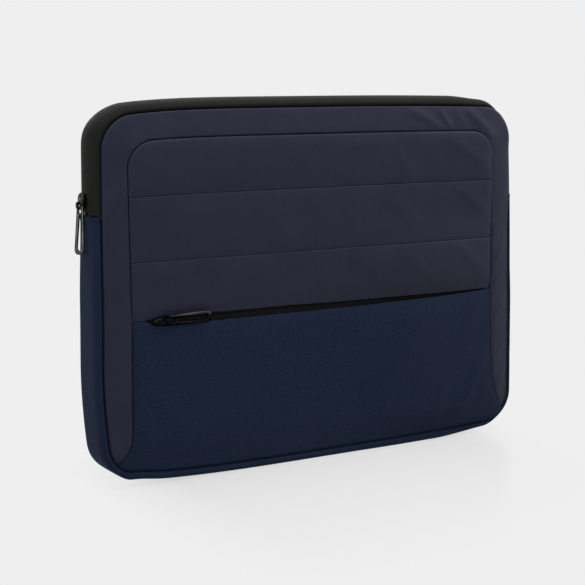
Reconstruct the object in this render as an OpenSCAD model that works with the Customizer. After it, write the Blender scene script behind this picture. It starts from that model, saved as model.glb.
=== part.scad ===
// Padded laptop sleeve standing on its long edge, front facing -Y.
// A wide zip runs over the top and part way down both sides, so that the upper
// front folds outwards as a flap. A second zip closes a flat pocket on the front.
// Millimetres. The origin is the middle of the flat foot of the bottom gusset.

/* [Overall] */
// Width across the side gussets
body_w = 394; // [350:1:430]
// Height from the foot to the top gusset
body_h = 290; // [275:1:330]
// Depth between the front seam and the back seam
seam_d = 30; // [28:1:40]
// How far the gusset stands out past the seams
bulge = 7; // [5.5:0.25:8]
// Outer radius of the two top corners
corner_top = 42; // [34:1:50]
// Outer radius of the two bottom corners
corner_low = 36; // [30:1:46]
// How far the front swells past its seam
crown_front = 4; // [3:0.25:6]
// How far the back swells past its seam
crown_back = 3; // [2:0.25:5]

/* [Front layout] */
// Width of the smooth strip down each side
strip_w = 21; // [16:1:26]
// Height of the smooth strip along the top
strip_top = 23; // [16:1:28]
// Corner radius at the top of the quilted panel
panel_r = 23; // [20:1:34]
// Height of the pocket zip above the foot
pocket_h = 126; // [110:1:140]
// Height of the lowest quilted band
band_low_h = 45; // [36:1:50]
// Height of the middle quilted band
band_mid_h = 48; // [40:1:54]
// Height of the sloping foot of the pocket panel
slope_low = 14; // [10:1:20]
// Height above the foot where the side strips begin to taper away
strip_tip = 30; // [20:1:32]

/* [Layers] */
// Thickness of the outer fabric
skin = 0.8; // [0.6:0.1:1.2]
// Thickness of the lining and of the pocket backing
lining = 0.6; // [0.4:0.1:1]
// Thickness of the flat foam sheet in the front
foam = 3.5; // [2.5:0.25:5]
// Thickness of the foam strip in the lower gusset
gusset_foam_t = 3.2; // [2:0.2:3.4]
// Width of the foam strip in the lower gusset
gusset_foam_w = 17; // [10:1:17]
// Width of the tape that binds the seam allowances
binding_w = 1.8; // [1.2:0.2:2.4]

/* [Zips] */
// Thickness of the zip tapes
tape = 0.7; // [0.5:0.1:0.9]
// Width of one half of a zip coil
coil_w = 1.8; // [1.4:0.1:2.2]
// Height of a zip coil behind its tape
coil_h = 1.4; // [1.1:0.1:1.8]
// Slot between the two halves of a zip
chain_gap = 1; // [0.8:0.1:1.4]
// How far the main zip runs on below the fold of the flap
zip_tail = 14.5; // [12:0.5:24]
// Length of a zip stop
stop_l = 2; // [1.5:0.25:3]
// Distance from the end of the main zip to its stops
stop_in = 1.2; // [0.8:0.2:2]
// Distance from those stops to the slider at rest
slider_rest = 1.6; // [0.2:0.2:3]
// Distance from the side strips to the ends of the pocket zip
pocket_zip_in = 7; // [5:0.5:12]
// Width of each pocket zip tape
pocket_tape_w = 11.5; // [9:0.5:14]
// Height of the folded hem on each lip of the pocket
hem_h = 8; // [5:0.5:9]
// Room behind the pocket zip, up to the pocket backing
pocket_slack = 0.6; // [0.4:0.1:3]
// Length of the cover tab at each end of the main zip
tab_l = 8; // [6:0.5:10]

/* [Sliders and pulls] */
// Length of a slider along its zip
slider_l = 12; // [10:0.5:13]
// Thickness of a slider's plates
plate = 0.8; // [0.6:0.1:1.1]
// Length of the crown that carries the pull
crown_l = 6.4; // [5.4:0.2:7]
// Distance from the middle of a slider to the middle of its crown
crown_in = 2.6; // [0:0.2:2.6]
// Thickness of the crown across the zip
crown_w = 2.4; // [2:0.1:2.8]
// Metal of the crown outside its bore
crown_wall = 0.9; // [0.7:0.1:1.2]
// Bore through the crown
bore_d = 2.6; // [2.4:0.1:3]
// Bar of the pull that runs in the bore
bar_d = 1.4; // [1.2:0.1:1.6]
// Length of a pull from its bar to its end
pull_l = 35; // [30:1:44]
// Width of a pull at its end
pull_w = 9.5; // [9:0.5:13]
// Thickness of a pull
pull_t = 1.6; // [1.2:0.1:1.8]
// Metal on each side of a pull
pull_wall = 1.3; // [1:0.1:1.6]
// Turn of the hanging main pull about its own length
pull_turn = 18; // [0:1:20]
// Lean of the hanging main pull away from the gusset
pull_lean = 1; // [0:0.5:5]
// Distance from the left side strip to the pocket slider
pocket_slider_in = 27; // [20:1:60]

/* [Clearances] */
// Gap left at a sewn seam between two pieces
seam_gap = 0.15; // [0.1:0.05:0.3]
// Gap between stacked layers
ply_gap = 0.1; // [0.05:0.05:0.2]
// Running gap between a slider and its zip
run_gap = 0.25; // [0.2:0.05:0.35]
// Gap between a slider or pull and the pocket lips
lip_gap = 0.35; // [0.3:0.05:0.5]

/* [Hidden] */
$fn = 64;

// Seam outline in X and Z
seam_x = body_w / 2 - bulge;
seam_low = bulge;
seam_top = body_h - bulge;
r_top = corner_top - bulge;
r_low = corner_low - bulge;
bend_low = seam_low + r_low;
bend_top = seam_top - r_top;

// Depths of the layers, front to back
front_seam = -seam_d / 2;
back_seam = seam_d / 2;
front_face = front_seam - crown_front;
back_face = back_seam + crown_back;
lip_back = front_face + skin;
lip_room = run_gap + plate + lip_gap;
tape_face = lip_back + lip_room;
slider_back = tape_face + tape + coil_h + run_gap + plate;
sheet_face = slider_back + pocket_slack;
foam_face = sheet_face + lining;
lining_face = foam_face + foam + ply_gap;
back_foam_face = back_seam - 2 * skin - ply_gap;
back_lining_face = back_foam_face - ply_gap - lining;

// Heights of the seams on the front
panel_x = seam_x - strip_w;
panel_top = seam_top - strip_top;
slit = pocket_h;
quilt_low = pocket_h + band_low_h;
fold = quilt_low + band_mid_h;
zip_end = fold - zip_tail;

// Sizes of a slider, seen along its zip
crown_base = run_gap + plate;
axis_h = lip_room + skin + lip_gap + pull_t / 2;
flange_t = plate;
slider_w = chain_gap + 2 * (coil_w + run_gap + ply_gap + flange_t);
slit_h = crown_w + 4 * run_gap;
hem_from = slider_w / 2 + lip_gap;
blade_t = chain_gap - 2 * run_gap;
plate_low = -tape - coil_h - run_gap - plate;
eye_w = crown_w + 2 * pull_wall;
crown_r = bore_d / 2 + crown_wall;
pull_x = crown_in + crown_l / 2 - crown_r;
eye_l = crown_l - crown_r + lip_gap;
pull_top = eye_w + 2 * pull_wall;

// Places of the zips and their sliders
coil_from = zip_end + stop_in + stop_l + seam_gap;
main_slider_z = coil_from + slider_l / 2 + slider_rest;
tail_top = main_slider_z + slider_l / 2 + lip_gap;
pocket_zip_x = panel_x - pocket_zip_in;
pocket_slider_x = -panel_x + pocket_slider_in;
pocket_half_x = panel_x - pocket_zip_in / 2;
pocket_roof = slit + hem_from + hem_h + lip_gap;
far = 2 * body_w;

coated = "#2b2d3b";
woven = "#1c2540";
black = "#1b1b1c";
grey = "#4a4d55";
padding = "#8f9299";
metal = "#3d3d3b";

// Flat sheet between two depths, cut to a 2D outline in X and Z
module sheet(from, to) {
  translate([0, to, 0])
    rotate([90, 0, 0])
      linear_extrude(to - from)
        children();
}

// Slab of space between two heights
module between(low, high) {
  translate([-far / 2, -far / 2, low])
    cube([far, far, high - low]);
}

// Seam outline, grown by d
module seam_outline(d = 0) {
  translate([-seam_x - d, bend_low])
    square([2 * (seam_x + d), bend_top - bend_low]);
  translate([-seam_x + r_top, bend_top])
    square([2 * (seam_x - r_top), r_top + d]);
  translate([-seam_x + r_low, seam_low - d])
    square([2 * (seam_x - r_low), r_low + d]);
  for (side = [-1, 1]) {
    translate([side * (seam_x - r_top), bend_top])
      circle(r_top + d);
    translate([side * (seam_x - r_low), bend_low])
      circle(r_low + d);
  }
}

// Outline with rounded top corners, from a given height up to the top strip
module panel_outline(low, d = 0) {
  translate([-panel_x - d, low])
    square([2 * (panel_x + d), panel_top - panel_r - low]);
  translate([-panel_x + panel_r, panel_top - panel_r])
    square([2 * (panel_x - panel_r), panel_r + d]);
  for (side = [-1, 1])
    translate([side * (panel_x - panel_r), panel_top - panel_r])
      circle(panel_r + d);
}

// Crowned front: the sewn edge at the seam, the raised flat in the middle
module front_crown(back = 0) {
  translate([0, back, 0])
    hull() {
      sheet(front_seam, front_seam + skin)
        seam_outline(-seam_gap, $fn = 48);
      sheet(front_face, lip_back)
        panel_outline(seam_low + slope_low, $fn = 48);
    }
}

// Outer fabric of the front, before it is cut into its pieces
module front_skin() {
  difference() {
    front_crown();
    front_crown(skin);
  }
}

// Crowned back, with an even slope all round
module back_crown(forward = 0) {
  translate([0, -forward, 0])
    hull() {
      sheet(back_seam - skin, back_seam)
        seam_outline(-seam_gap, $fn = 48);
      sheet(back_face - skin, back_face)
        seam_outline(-strip_w, $fn = 48);
    }
}

// Cut line between the pocket panel and the tapering foot of the side strips
module pocket_area(d = 0) {
  taper = strip_w + strip_tip;
  polygon([
    [-panel_x - d, far], [panel_x + d, far],
    [panel_x + d, strip_tip + d], [panel_x + taper + d, strip_tip - taper + d],
    [-panel_x - taper - d, strip_tip - taper + d], [-panel_x - d, strip_tip + d]
  ]);
}

// Runs that carry a cross-section round the seam outline.
// The section's X points outwards from the seam and its Y is the depth.
module run_left(low, high) {
  translate([-seam_x, 0, low])
    mirror([1, 0, 0])
      linear_extrude(high - low)
        children();
}

module run_right(low, high) {
  translate([seam_x, 0, low])
    linear_extrude(high - low)
      children();
}

module run_top() {
  translate([seam_x - r_top, 0, seam_top])
    rotate([0, -90, 0])
      linear_extrude(2 * (seam_x - r_top))
        children();
}

module run_bottom() {
  translate([-seam_x + r_low, 0, seam_low])
    rotate([0, 90, 0])
      linear_extrude(2 * (seam_x - r_low))
        children();
}

module corner(x, z, r, turn) {
  translate([x, 0, z])
    rotate([-90, 0, 0])
      rotate([0, 0, turn])
        rotate_extrude(angle = 90)
          translate([r, 0])
            children();
}

// Over the top, from a height on the left to the same height on the right
module over_top(low) {
  run_left(low, bend_top) children();
  corner(-seam_x + r_top, bend_top, r_top, 180) children();
  run_top() children();
  corner(seam_x - r_top, bend_top, r_top, 270) children();
  run_right(low, bend_top) children();
}

// Round the bottom, from a height on the left to the same height on the right
module round_bottom(high) {
  run_left(bend_low, high) children();
  corner(-seam_x + r_low, bend_low, r_low, 90) children();
  run_bottom() children();
  corner(seam_x - r_low, bend_low, r_low, 0) children();
  run_right(bend_low, high) children();
}

// The whole way round, joined at the height of the fold
module all_round() {
  over_top(fold) children();
  round_bottom(fold) children();
}

// Cross-section of the swollen gusset, inset from its outer face
module gusset_fill(inset) {
  intersection() {
    union() {
      translate([0, front_seam + bulge])
        square([bulge - inset, seam_d - 2 * bulge]);
      for (side = [-1, 1])
        translate([0, side * (back_seam - bulge)])
          circle(bulge - inset);
    }
    translate([0, -seam_d])
      square([seam_d, 2 * seam_d]);
  }
}

module gusset_section(thick) {
  difference() {
    gusset_fill(0);
    gusset_fill(thick);
  }
}

// One half of the zip tape: side -1 is the front half
module tape_section(side) {
  intersection() {
    gusset_section(tape);
    translate([0, side > 0 ? chain_gap / 2 : -seam_d - chain_gap / 2])
      square([seam_d, seam_d]);
  }
}

module coil_section(side) {
  translate([bulge - tape - coil_h, side > 0 ? chain_gap / 2 : -chain_gap / 2 - coil_w])
    square([coil_h, coil_w]);
}

module binding_section(from, to) {
  translate([-binding_w - seam_gap, from])
    square([binding_w, to - from]);
}

// Back
module back_panel() {
  color(woven)
    difference() {
      back_crown();
      back_crown(skin);
    }
}

module back_foam() {
  color(padding)
    intersection() {
      back_crown(skin + ply_gap);
      sheet(back_foam_face, back_face)
        seam_outline(-binding_w - 3 * seam_gap);
    }
}

module back_lining() {
  color(grey)
    sheet(back_lining_face, back_lining_face + lining)
      seam_outline(seam_gap);
}

module seam_binding_back() {
  color(black)
    all_round()
      binding_section(back_foam_face, back_seam - skin - ply_gap);
}

// Gusset below the zip
module lower_gusset() {
  color(woven)
    round_bottom(zip_end - seam_gap)
      gusset_section(skin);
}

module gusset_foam() {
  color(padding)
    round_bottom(zip_end - tab_l)
      translate([bulge - skin - ply_gap - gusset_foam_t, -gusset_foam_w / 2])
        square([gusset_foam_t, gusset_foam_w]);
}

module gusset_lining() {
  color(grey)
    round_bottom(zip_end - tab_l)
      translate([bulge - skin - 2 * ply_gap - gusset_foam_t - lining, lining_face])
        square([lining, back_lining_face - lining_face]);
}

// Front, below the fold
module side_strip(side) {
  color(coated)
    intersection() {
      difference() {
        front_skin();
        sheet(-far, far)
          pocket_area(seam_gap);
      }
      between(0, fold - seam_gap);
      translate([side > 0 ? 0 : -far, -far, 0])
        cube([far, 2 * far, far]);
    }
}

module side_strip_left() {
  side_strip(-1);
}

module side_strip_right() {
  side_strip(1);
}

module band(low, high) {
  color(coated)
    sheet(front_face, lip_back)
      intersection() {
        panel_outline(0, -seam_gap);
        translate([-far / 2, low])
          square([far, high - low]);
      }
}

// Folded edge behind a lip of the pocket, which the zip tape is sewn to
module hem(low) {
  sheet(lip_back, tape_face - ply_gap)
    translate([-pocket_zip_x, low])
      square([2 * pocket_zip_x, hem_h]);
}

module quilt_band_middle() {
  band(quilt_low + seam_gap, fold - seam_gap);
}

module quilt_band_lower() {
  band(slit + slit_h / 2, quilt_low - seam_gap);
  color(coated)
    hem(slit + hem_from);
}

module front_wadding() {
  color(padding)
    difference() {
      intersection() {
        front_crown(skin + ply_gap);
        sheet(front_face, sheet_face - ply_gap)
          seam_outline(-binding_w - 3 * seam_gap);
        between(0, fold - seam_gap);
      }
      translate([-pocket_half_x, -far, -far])
        cube([2 * pocket_half_x, 2 * far, far + pocket_roof]);
    }
}

module pocket_panel() {
  color(woven)
    union() {
      intersection() {
        front_skin();
        sheet(-far, far)
          pocket_area();
        between(0, slit - slit_h / 2);
      }
      hem(slit - hem_from - hem_h);
    }
}

module pocket_backing() {
  color(grey)
    intersection() {
      sheet(sheet_face, sheet_face + lining - ply_gap)
        seam_outline(-binding_w - 3 * seam_gap);
      between(0, fold - seam_gap);
    }
}

module front_foam() {
  color(padding)
    intersection() {
      sheet(foam_face, foam_face + foam)
        seam_outline(-binding_w - 3 * seam_gap);
      between(0, fold - seam_gap);
    }
}

module front_lining() {
  color(grey)
    intersection() {
      sheet(lining_face, lining_face + lining)
        seam_outline(seam_gap);
      between(0, fold - seam_gap);
    }
}

module seam_binding_front() {
  color(black)
    round_bottom(fold - seam_gap)
      binding_section(front_seam + skin + ply_gap, lining_face - ply_gap);
}

// Pocket zip
module pocket_tape(side) {
  color(black)
    sheet(tape_face, tape_face + tape)
      translate([-pocket_zip_x, slit + (side > 0 ? chain_gap / 2 : -chain_gap / 2 - pocket_tape_w)])
        square([2 * pocket_zip_x, pocket_tape_w]);
}

module pocket_coil(side) {
  color(black)
    sheet(tape_face + tape, tape_face + tape + coil_h)
      translate([-pocket_zip_x + stop_l, slit + (side > 0 ? chain_gap / 2 : -chain_gap / 2 - coil_w)])
        square([2 * (pocket_zip_x - stop_l), coil_w]);
}

module pocket_tape_upper() {
  pocket_tape(1);
}

module pocket_tape_lower() {
  pocket_tape(-1);
}

module pocket_coil_upper() {
  pocket_coil(1);
}

module pocket_coil_lower() {
  pocket_coil(-1);
}

module pocket_zip_stops() {
  wide = chain_gap + 2 * coil_w;
  color(metal)
    for (side = [-1, 1])
      translate([side * (pocket_zip_x - stop_l / 2 + seam_gap / 2), 0, slit])
        sheet(tape_face + tape, tape_face + tape + coil_h)
          square([stop_l - seam_gap, wide], center = true);
}

// Main zip, back half and the ends of the front half
module zip_tape_back() {
  color(black)
    over_top(zip_end)
      tape_section(1);
}

module zip_coil_back() {
  color(black)
    over_top(coil_from)
      coil_section(1);
}

module zip_tape_tails() {
  color(black) {
    run_left(zip_end, fold - seam_gap) tape_section(-1);
    run_right(zip_end, fold - seam_gap) tape_section(-1);
  }
}

module zip_coil_tails() {
  color(black) {
    run_left(coil_from, tail_top) coil_section(-1);
    run_right(coil_from, fold - seam_gap) coil_section(-1);
  }
}

module stop_section() {
  translate([bulge - tape - coil_h, -chain_gap / 2 - coil_w])
    square([coil_h, chain_gap + 2 * coil_w]);
}

module zip_stops() {
  color(metal) {
    run_left(zip_end + stop_in, zip_end + stop_in + stop_l) stop_section();
    run_right(zip_end + stop_in, zip_end + stop_in + stop_l) stop_section();
  }
}

module tab_section() {
  translate([bulge - max(skin, tape) - ply_gap - skin, -gusset_foam_w / 2])
    square([skin, gusset_foam_w]);
}

module zip_end_tabs() {
  low = zip_end - tab_l + lip_gap;
  high = zip_end + stop_in - seam_gap;
  color(black) {
    run_left(low, high) tab_section();
    run_right(low, high) tab_section();
  }
}

// Flap above the fold
module above_fold() {
  intersection() {
    children();
    between(fold + seam_gap, body_h);
  }
}

module flap_frame() {
  color(coated)
    above_fold()
      difference() {
        front_skin();
        sheet(-far, far)
          panel_outline(0);
      }
}

module quilt_band_top() {
  band(fold + seam_gap, panel_top);
}

module flap_wadding() {
  color(padding)
    above_fold()
      intersection() {
        front_crown(skin + ply_gap);
        sheet(front_face, sheet_face - ply_gap)
          seam_outline(-binding_w - 3 * seam_gap);
      }
}

module flap_foam() {
  color(padding)
    above_fold()
      sheet(sheet_face, foam_face + foam)
        seam_outline(-binding_w - 3 * seam_gap);
}

module flap_lining() {
  color(grey)
    above_fold()
      sheet(lining_face, lining_face + lining)
        seam_outline(seam_gap);
}

module flap_binding() {
  color(black)
    over_top(fold + seam_gap)
      binding_section(front_seam + skin + ply_gap, lining_face - ply_gap);
}

module zip_tape_front() {
  color(black)
    over_top(fold + seam_gap)
      tape_section(-1);
}

module zip_coil_front() {
  color(black)
    difference() {
      over_top(fold + seam_gap)
        coil_section(-1);
      translate([-far, -far, 0])
        cube([far, 2 * far, tail_top + seam_gap]);
    }
}

// Slider, along X over a zip in the XY plane, with Z pointing outwards
module slider_plan() {
  long = slider_l / 2;
  half = slider_w / 2;
  polygon([
    [-long, -0.75 * half], [-long / 2, -half], [long / 2, -half], [long, -0.75 * half],
    [long, 0.75 * half], [long / 2, half], [-long / 2, half], [-long, 0.75 * half]
  ]);
}

module slider_body() {
  color(metal) {
    translate([0, 0, run_gap])
      linear_extrude(plate)
        slider_plan();
    translate([0, 0, plate_low])
      linear_extrude(plate)
        slider_plan();
    for (side = [-1, 1])
      translate([-slider_l / 4, side * (slider_w - flange_t) / 2 - flange_t / 2, plate_low])
        cube([slider_l / 2, flange_t, -tape - run_gap - plate_low]);
    translate([-slider_l / 2 + plate, -blade_t / 2, plate_low])
      cube([slider_l / 3, blade_t, crown_base - plate_low]);
  }
}

// Crown on the slider's outer plate, towards the end that the pull lies over
module slider_crown(side) {
  low = crown_in - crown_l / 2;
  color(metal)
    mirror([side > 0 ? 0 : 1, 0, 0])
      rotate([90, 0, 0])
        translate([0, 0, -crown_w / 2])
          linear_extrude(crown_w)
            difference() {
              union() {
                translate([low, crown_base])
                  square([crown_l, axis_h - crown_base]);
                translate([low + crown_r, axis_h])
                  circle(crown_r);
                translate([pull_x, axis_h])
                  circle(crown_r);
                translate([low + crown_r, axis_h])
                  square([crown_l - 2 * crown_r, crown_r]);
              }
              translate([pull_x, axis_h])
                circle(d = bore_d);
            }
}

// Stirrup pull, its bar at the origin along Y and its loop along +X
module pull() {
  end_r = 3 * pull_wall;
  hole_top = eye_w / 2 - pull_wall / 2;
  hole_end = pull_w / 2 - 1.5 * pull_wall;
  hole_from = eye_l + 1.5 * pull_wall + hole_top;
  hole_to = pull_l - 2 * pull_wall - hole_end;
  color(metal) {
    translate([0, 0, -pull_t / 2])
      linear_extrude(pull_t)
        difference() {
          union() {
            polygon([
              [-bar_d / 2, -pull_top / 2], [pull_l - end_r, -pull_w / 2],
              [pull_l - end_r, pull_w / 2], [-bar_d / 2, pull_top / 2]
            ]);
            for (side = [-1, 1])
              translate([pull_l - end_r, side * (pull_w / 2 - end_r)])
                circle(end_r);
            translate([pull_l - end_r, end_r - pull_w / 2])
              square([end_r, pull_w - 2 * end_r]);
          }
          translate([-pull_l, -eye_w / 2])
            square([pull_l + eye_l, eye_w]);
          polygon([
            [hole_from, -hole_top], [hole_to, -hole_end], [hole_to, hole_end], [hole_from, hole_top]
          ]);
          translate([hole_from, 0])
            circle(hole_top);
          translate([hole_to, 0])
            circle(hole_end);
        }
    rotate([90, 0, 0])
      cylinder(d = bar_d, h = eye_w + pull_wall, center = true);
  }
}

module on_main_zip() {
  translate([-seam_x - bulge, 0, main_slider_z])
    rotate([0, -90, 0])
      children();
}

module on_pocket_zip() {
  translate([pocket_slider_x, tape_face, slit])
    rotate([90, 0, 0])
      children();
}

module main_slider_body() {
  on_main_zip()
    slider_body();
}

module main_slider_crown() {
  on_main_zip()
    slider_crown(-1);
}

module main_pull() {
  on_main_zip()
    translate([-pull_x, 0, axis_h])
      rotate([pull_turn, 0, 0])
        rotate([0, -pull_lean, 180])
          pull();
}

module pocket_slider_body() {
  on_pocket_zip()
    slider_body();
}

module pocket_slider_crown() {
  on_pocket_zip()
    slider_crown(1);
}

module pocket_pull() {
  on_pocket_zip()
    translate([pull_x, 0, axis_h])
      pull();
}

back_panel();
back_foam();
back_lining();
lower_gusset();
gusset_foam();
gusset_lining();
side_strip_left();
side_strip_right();
quilt_band_middle();
quilt_band_lower();
front_wadding();
pocket_panel();
pocket_backing();
front_foam();
front_lining();
pocket_tape_upper();
pocket_tape_lower();
pocket_coil_upper();
pocket_coil_lower();
pocket_zip_stops();
zip_tape_back();
zip_coil_back();
zip_stops();
zip_end_tabs();
zip_tape_tails();
zip_coil_tails();
seam_binding_back();
seam_binding_front();
flap_frame();
quilt_band_top();
flap_wadding();
flap_foam();
flap_lining();
zip_tape_front();
zip_coil_front();
flap_binding();
main_slider_body();
main_slider_crown();
main_pull();
pocket_slider_body();
pocket_slider_crown();
pocket_pull();
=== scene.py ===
# %% [markdown]
# # A padded laptop sleeve
# The CAD model gives the frame: where every layer sits, which body it belongs to and
# how the flap, the sliders and the pulls move. This lesson dresses that frame in cloth,
# zip tape and metal. Lengths are written in millimetres and become metres once, when a
# mesh is made.

# %% Load the frame
import math
from contextlib import contextmanager

import bmesh
import bpy
import numpy as np
from mathutils import Matrix, Vector


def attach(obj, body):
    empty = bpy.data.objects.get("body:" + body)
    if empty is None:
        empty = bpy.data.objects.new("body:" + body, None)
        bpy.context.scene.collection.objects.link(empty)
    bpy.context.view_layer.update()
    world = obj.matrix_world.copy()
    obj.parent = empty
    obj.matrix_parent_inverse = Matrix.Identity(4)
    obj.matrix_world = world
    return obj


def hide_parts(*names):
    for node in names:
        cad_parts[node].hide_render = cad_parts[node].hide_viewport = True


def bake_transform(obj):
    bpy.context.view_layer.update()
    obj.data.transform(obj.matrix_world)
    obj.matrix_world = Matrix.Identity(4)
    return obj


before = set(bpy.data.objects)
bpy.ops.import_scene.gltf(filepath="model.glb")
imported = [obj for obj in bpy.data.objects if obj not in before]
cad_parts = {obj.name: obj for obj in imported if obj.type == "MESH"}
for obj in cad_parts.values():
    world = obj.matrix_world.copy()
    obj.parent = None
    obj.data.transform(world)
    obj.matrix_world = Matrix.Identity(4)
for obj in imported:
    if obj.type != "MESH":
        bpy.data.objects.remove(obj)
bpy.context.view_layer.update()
MM = 0.001
scene = bpy.context.scene

# %% [markdown]
# ## Camera
# The sleeve is seen from its front left and a little from above, through a long lens,
# so its edges hardly converge. A camera looks along its own -Z, so its matrix is built
# from the three directions right, up and backwards.

# %% Camera
camera_data = bpy.data.cameras.new("studio_camera")
camera_data.sensor_width = 36
camera_data.lens = 89.23
camera_data.clip_start = 0.05
camera = bpy.data.objects.new("studio_camera", camera_data)
scene.collection.objects.link(camera)
eye = Vector((-0.6151, -0.9778, 0.3046))
aim = Vector((0.5149, 0.8445, -0.1469)).normalized()
right = aim.cross(Vector((0.0787, 0.1241, 0.9891))).normalized()
upright = right.cross(aim)
turn = Matrix((right, upright, -aim)).transposed()
camera.matrix_world = Matrix.Translation(eye) @ turn.to_4x4()
scene.camera = camera
scene.view_settings.view_transform = "Standard"
print("camera at", tuple(round(c, 3) for c in eye))

# %% [markdown]
# ## Finishes as expressions
# A finish is a small network of nodes. Written out node by node it is hard to follow, so
# one class wraps a socket: adding or multiplying two wrapped sockets adds a Math node.
# Every other kind of node comes from one method that takes its type, its settings and
# what goes into its sockets.


# %% Sockets as values
class Wire:
    """One output socket of a node tree, for use in Python expressions."""

    def __init__(self, tree, socket):
        self.tree = tree
        self.socket = socket

    def node(self, kind, settings=None, sockets=None):
        made = self.tree.nodes.new(kind)
        for name, value in (settings or {}).items():
            setattr(made, name, value)
        for name, value in (sockets or {}).items():
            target = made.inputs[name]
            if isinstance(value, Wire):
                self.tree.links.new(value.socket, target)
            else:
                target.default_value = value
        return Wire(self.tree, made.outputs[0])

    def math(self, operation, *values):
        sockets = dict(enumerate(values))
        return self.node("ShaderNodeMath", {"operation": operation}, sockets)

    def __add__(self, other):
        return self.math("ADD", self, other)

    def __sub__(self, other):
        return self.math("SUBTRACT", self, other)

    def __rsub__(self, other):
        return self.math("SUBTRACT", other, self)

    def __mul__(self, other):
        return self.math("MULTIPLY", self, other)

    def __truediv__(self, other):
        return self.math("DIVIDE", self, other)

    __radd__ = __add__

    def sin(self):
        return self.math("SINE", self)

    def abs(self):
        return self.math("ABSOLUTE", self)

    def clamp(self, low=0.0, high=1.0):
        sockets = {"Value": self, "Min": low, "Max": high}
        return self.node("ShaderNodeClamp", None, sockets)

    def noise(self, scale, detail=2.0, rough=0.5):
        sockets = {"Vector": self, "Scale": scale, "Detail": detail, "Roughness": rough}
        return self.node("ShaderNodeTexNoise", None, sockets)

    def stretched(self, *scale):
        return self.node("ShaderNodeMapping", None, {"Vector": self, "Scale": scale})

    def tint(self, dark, light):
        """A colour that goes from dark to light as this value goes from 0 to 1."""
        mix = self.tree.nodes.new("ShaderNodeMix")
        mix.data_type = "RGBA"
        self.tree.links.new(self.socket, mix.inputs[0])
        mix.inputs[6].default_value = (*dark, 1)
        mix.inputs[7].default_value = (*light, 1)
        return Wire(self.tree, mix.outputs[2])


print("sockets can be used in expressions")

# %% [markdown]
# Every finish starts from a new material with its coordinates ready. It ends with its
# colour, its gloss and its relief plugged into the shader, and what doesn't vary set.

# %% Start and end of a finish


def start_finish(name, coordinates="UV"):
    """A new material, its shader, and its surface coordinates split into three."""
    material = bpy.data.materials.new(name)
    material.use_nodes = True
    tree = material.node_tree
    shader = tree.nodes["Principled BSDF"]
    source = tree.nodes.new("ShaderNodeTexCoord")
    place = Wire(tree, source.outputs[coordinates])
    split = tree.nodes.new("ShaderNodeSeparateXYZ")
    tree.links.new(place.socket, split.inputs[0])
    axes = [Wire(tree, output) for output in split.outputs]
    return material, shader, place, axes


def plug(shader, colour, rough, relief, depth, values):
    """Links what varies over the surface, and sets what is the same all over."""
    bump = relief.node("ShaderNodeBump", None, {"Height": relief, "Distance": depth})
    wires = {"Base Color": colour, "Roughness": rough, "Normal": bump}
    for name, wire in wires.items():
        wire.tree.links.new(wire.socket, shader.inputs[name])
    for name, value in values.items():
        shader.inputs[name].default_value = value


print("node helpers ready")

# %% [markdown]
# ## Coated cloth
# The frame of the front and its quilted bands are cut from one smooth coated cloth. It
# is a tight plain weave of thin yarn under a film, so close up it shows a faint grid of
# threads, and from further away a soft satin gloss with a little cloudiness. UV maps
# are laid out in metres along the cloth, so the thread count holds on every piece.

# %% Coated cloth
TAU = 2 * math.pi


def coated_cloth():
    material, shader, place, (across, along, _) = start_finish("coated_cloth")
    yarn = 0.00036
    warp = (across * (TAU / yarn)).sin()
    weft = (along * (TAU / yarn)).sin()
    grid = warp * weft * 0.5 + 0.5
    cloud = place.noise(38, 3.0)
    crumple = place.noise(240, 3.0, 0.6)
    shade = (cloud * 0.75 + crumple * 0.45 + grid * 0.2 - 0.2).clamp()
    colour = shade.tint((0.0072, 0.0087, 0.0190), (0.0145, 0.0165, 0.0322))
    gloss = cloud * 0.10 + crumple * 0.08 + 0.40
    relief = grid * 0.25 + crumple * 1.1
    plug(shader, colour, gloss, relief, 0.00012, {"Specular IOR Level": 0.12})
    return material


COATED = coated_cloth()
print("made", COATED.name)

# %% [markdown]
# ## Woven cloth
# The pocket, the lower gusset and the back are a heavier weave of blue yarn with no
# film on it. Plump crosswise yarns pass over and under thin lengthwise ones, which
# gives fine ribs. Two sine waves make the yarns, and a checker of their signs says which
# of the two lies on top. Slow noise along each yarn varies its colour.

# %% Woven cloth


def woven_cloth():
    material, shader, place, (across, along, _) = start_finish("woven_cloth")
    yarn_x, yarn_z = 0.00078, 0.00062
    warp = (across * (TAU / 2 / yarn_x)).sin()
    weft = (along * (TAU / 2 / yarn_z)).sin()
    over = (warp * weft * 3.0).clamp(-1.0, 1.0) * 0.5 + 0.5
    round_warp = (1 - (across * (TAU / yarn_x)).sin().abs()) * 0.5 + 0.5
    round_weft = (1 - (along * (TAU / yarn_z)).sin().abs()) * 0.5 + 0.5
    height = over * round_weft + (1 - over) * round_warp * 0.75
    streaks = place.stretched(480.0, 950.0, 1.0).noise(1.0, 2.0)
    slubs = place.stretched(1200.0, 120.0, 1.0).noise(1.0, 2.0)
    cloud = place.noise(30, 2.0)
    shade = (height * 0.25 + streaks * 2.0 + slubs * 0.25 + cloud * 0.2 - 0.85).clamp()
    colour = shade.tint((0.0016, 0.0044, 0.0136), (0.0080, 0.0162, 0.0408))
    gloss = 0.92 - height * 0.16
    relief = height + streaks * 0.35
    sheen = {"Sheen Weight": 0.006, "Sheen Roughness": 0.4}
    plug(shader, colour, gloss, relief, 0.00022, {"Specular IOR Level": 0.10, **sheen})
    return material


WOVEN = woven_cloth()
print("made", WOVEN.name)

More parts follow.
